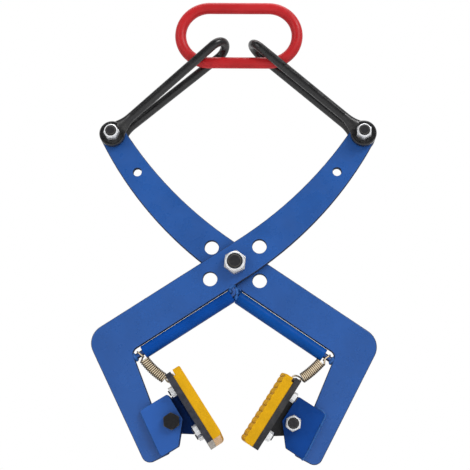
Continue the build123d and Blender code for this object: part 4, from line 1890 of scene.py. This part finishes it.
@dataclass(frozen=True)
class Lamp:
    """One soft lamp: its place in metres, its two sides in metres and its power in watts."""

    name: str
    place: Triple
    sides: Span
    power: float

    def build(self, aim: Vector) -> None:
        """Hangs the lamp.

        Args:
            aim: The point that it shines at, in metres.
        """
        data = bpy.data.lights.new(self.name, "AREA")
        data.shape = "RECTANGLE"
        data.size, data.size_y = self.sides
        data.energy = self.power
        lamp = Bench.stand(self.name, data)
        lamp.location = self.place
        lamp.rotation_euler = (aim - lamp.location).to_track_quat("-Z", "Y").to_euler()


@dataclass
class Studio:
    """The camera of the photograph's view, the plain light and the pale floor."""

    azimuth: float = 1.66
    elevation: float = -11.4
    roll: float = 0.90
    distance: float = 1.205
    aim: Triple = (-0.0008, 0.0, -0.254052)
    lens: float = 85.40
    sensor: float = 36.0
    floor_z: float = -0.56
    floor_size: float = 6.0
    ambient: float = 0.55
    glow: float = 0.80
    dim: float = 0.04
    glow_rise: Span = (-0.10, 0.10)
    glow_fall: Span = (0.08, 0.22)
    behind: Span = (-0.25, 0.35)
    middle: Triple = (0.0, 0.0, -0.27)
    lamps: tuple[Lamp, ...] = (
        Lamp("key_lamp", (1.4, -1.5, 1.2), (1.1, 0.9), 29.0),
        Lamp("fill_lamp", (-1.5, -1.4, 0.5), (0.9, 1.2), 9.0),
        Lamp("top_lamp", (0.0, 0.2, 1.4), (1.4, 1.0), 12.0),
    )

    def build(self) -> None:
        """Sets up the camera, the world, the lamps and the floor."""
        bpy.context.scene.view_settings.view_transform = "Standard"
        self.camera()
        self.world()
        self.floor()
        for lamp in self.lamps:
            lamp.build(Vector(self.middle))
        log.info("studio set")

    def camera(self) -> None:
        """Stands the camera where the photograph was taken from."""
        turn, rise, tip = (math.radians(a) for a in (self.azimuth, self.elevation, self.roll))
        flat = math.cos(rise)
        back = Vector((math.sin(turn) * flat, -math.cos(turn) * flat, math.sin(rise)))
        level = (-back).cross(UPWARDS).normalized()
        upright = level.cross(-back)
        right = level * math.cos(tip) + upright * math.sin(tip)
        up = upright * math.cos(tip) - level * math.sin(tip)
        data = bpy.data.cameras.new("camera")
        data.lens, data.sensor_width, data.sensor_fit = self.lens, self.sensor, "HORIZONTAL"
        data.dof.use_dof = False
        camera = Bench.stand("camera", data)
        spot = Matrix.Translation(Vector(self.aim) + back * self.distance)
        camera.matrix_world = spot @ Matrix((right, up, back)).transposed().to_4x4()
        bpy.context.scene.camera = camera

    def world(self) -> None:
        """Makes the world white to the camera, plain to the object, a soft studio to its gloss."""
        world = bpy.data.worlds.new("studio")
        world.use_nodes = True
        bpy.context.scene.world = world
        sheet = NodeSheet(world.node_tree)
        sheet.tree.nodes.clear()
        way = sheet.add("ShaderNodeTexCoord", {}).outputs["Generated"]
        height = sheet.part(way, "Z")
        rising = sheet.span(height, self.glow_rise)
        glow = sheet.times(rising, sheet.span(height, self.glow_fall, FADING))
        front = sheet.sum("MULTIPLY_ADD", glow, self.glow, self.dim)
        behind = sheet.span(sheet.part(way, "Y"), self.behind)
        inputs = {0: behind, 2: front, 3: 1.0}
        shine = sheet.add("ShaderNodeMix", inputs, data_type="FLOAT").outputs[0]
        white, plain, gloss = (
            sheet.add("ShaderNodeBackground", {"Color": (1.0,) * 4, "Strength": s}).outputs[0]
            for s in (1.0, self.ambient, shine)
        )
        rays = sheet.add("ShaderNodeLightPath", {}).outputs
        seen = sheet.sum("MAXIMUM", rays["Is Camera Ray"], rays["Is Transmission Ray"])
        shown = plain
        for rays_of, light in ((rays["Is Glossy Ray"], gloss), (seen, white)):
            inputs = {0: rays_of, 1: shown, 2: light}
            shown = sheet.add("ShaderNodeMixShader", inputs).outputs[0]
        sheet.add("ShaderNodeOutputWorld", {"Surface": shown})

    def floor(self) -> None:
        """Lays the pale floor under the hanging clamp."""
        plane, spot = bpy.ops.mesh.primitive_plane_add, (0.0, 0.0, self.floor_z)
        floor = Bench.add("floor", plane, size=self.floor_size, location=spot)
        dress(floor, FLOOR_PAPER.shared())


def main() -> None:
    """Builds the clamp's sub-assemblies in order and sets up the studio."""
    logging.basicConfig(level=logging.INFO, format="%(name)s: %(message)s")
    Hanger().build()
    pins = (Fastener("right_link", M10), Fastener("left_link", M10))
    Arms(Fastener("pivot", M14, ease=0.5), pins).build()
    Jaw(Side.LEFT, bead_points=5).build()
    Pad(Side.LEFT, rim=4.0).build()
    Jaw(Side.RIGHT, bead_points=7).build()
    Pad(Side.RIGHT, top_slant=2.4).build()
    Spring(Side.LEFT, sag=1.3, lean=4.0, body_start=7.0, top_shift=1.8).build()
    Spring(Side.RIGHT, sag=0.8, lean=2.5, body_start=8.3, foot_hook=6.0).build()
    Studio().build()


if __name__ == "__main__":
    main()
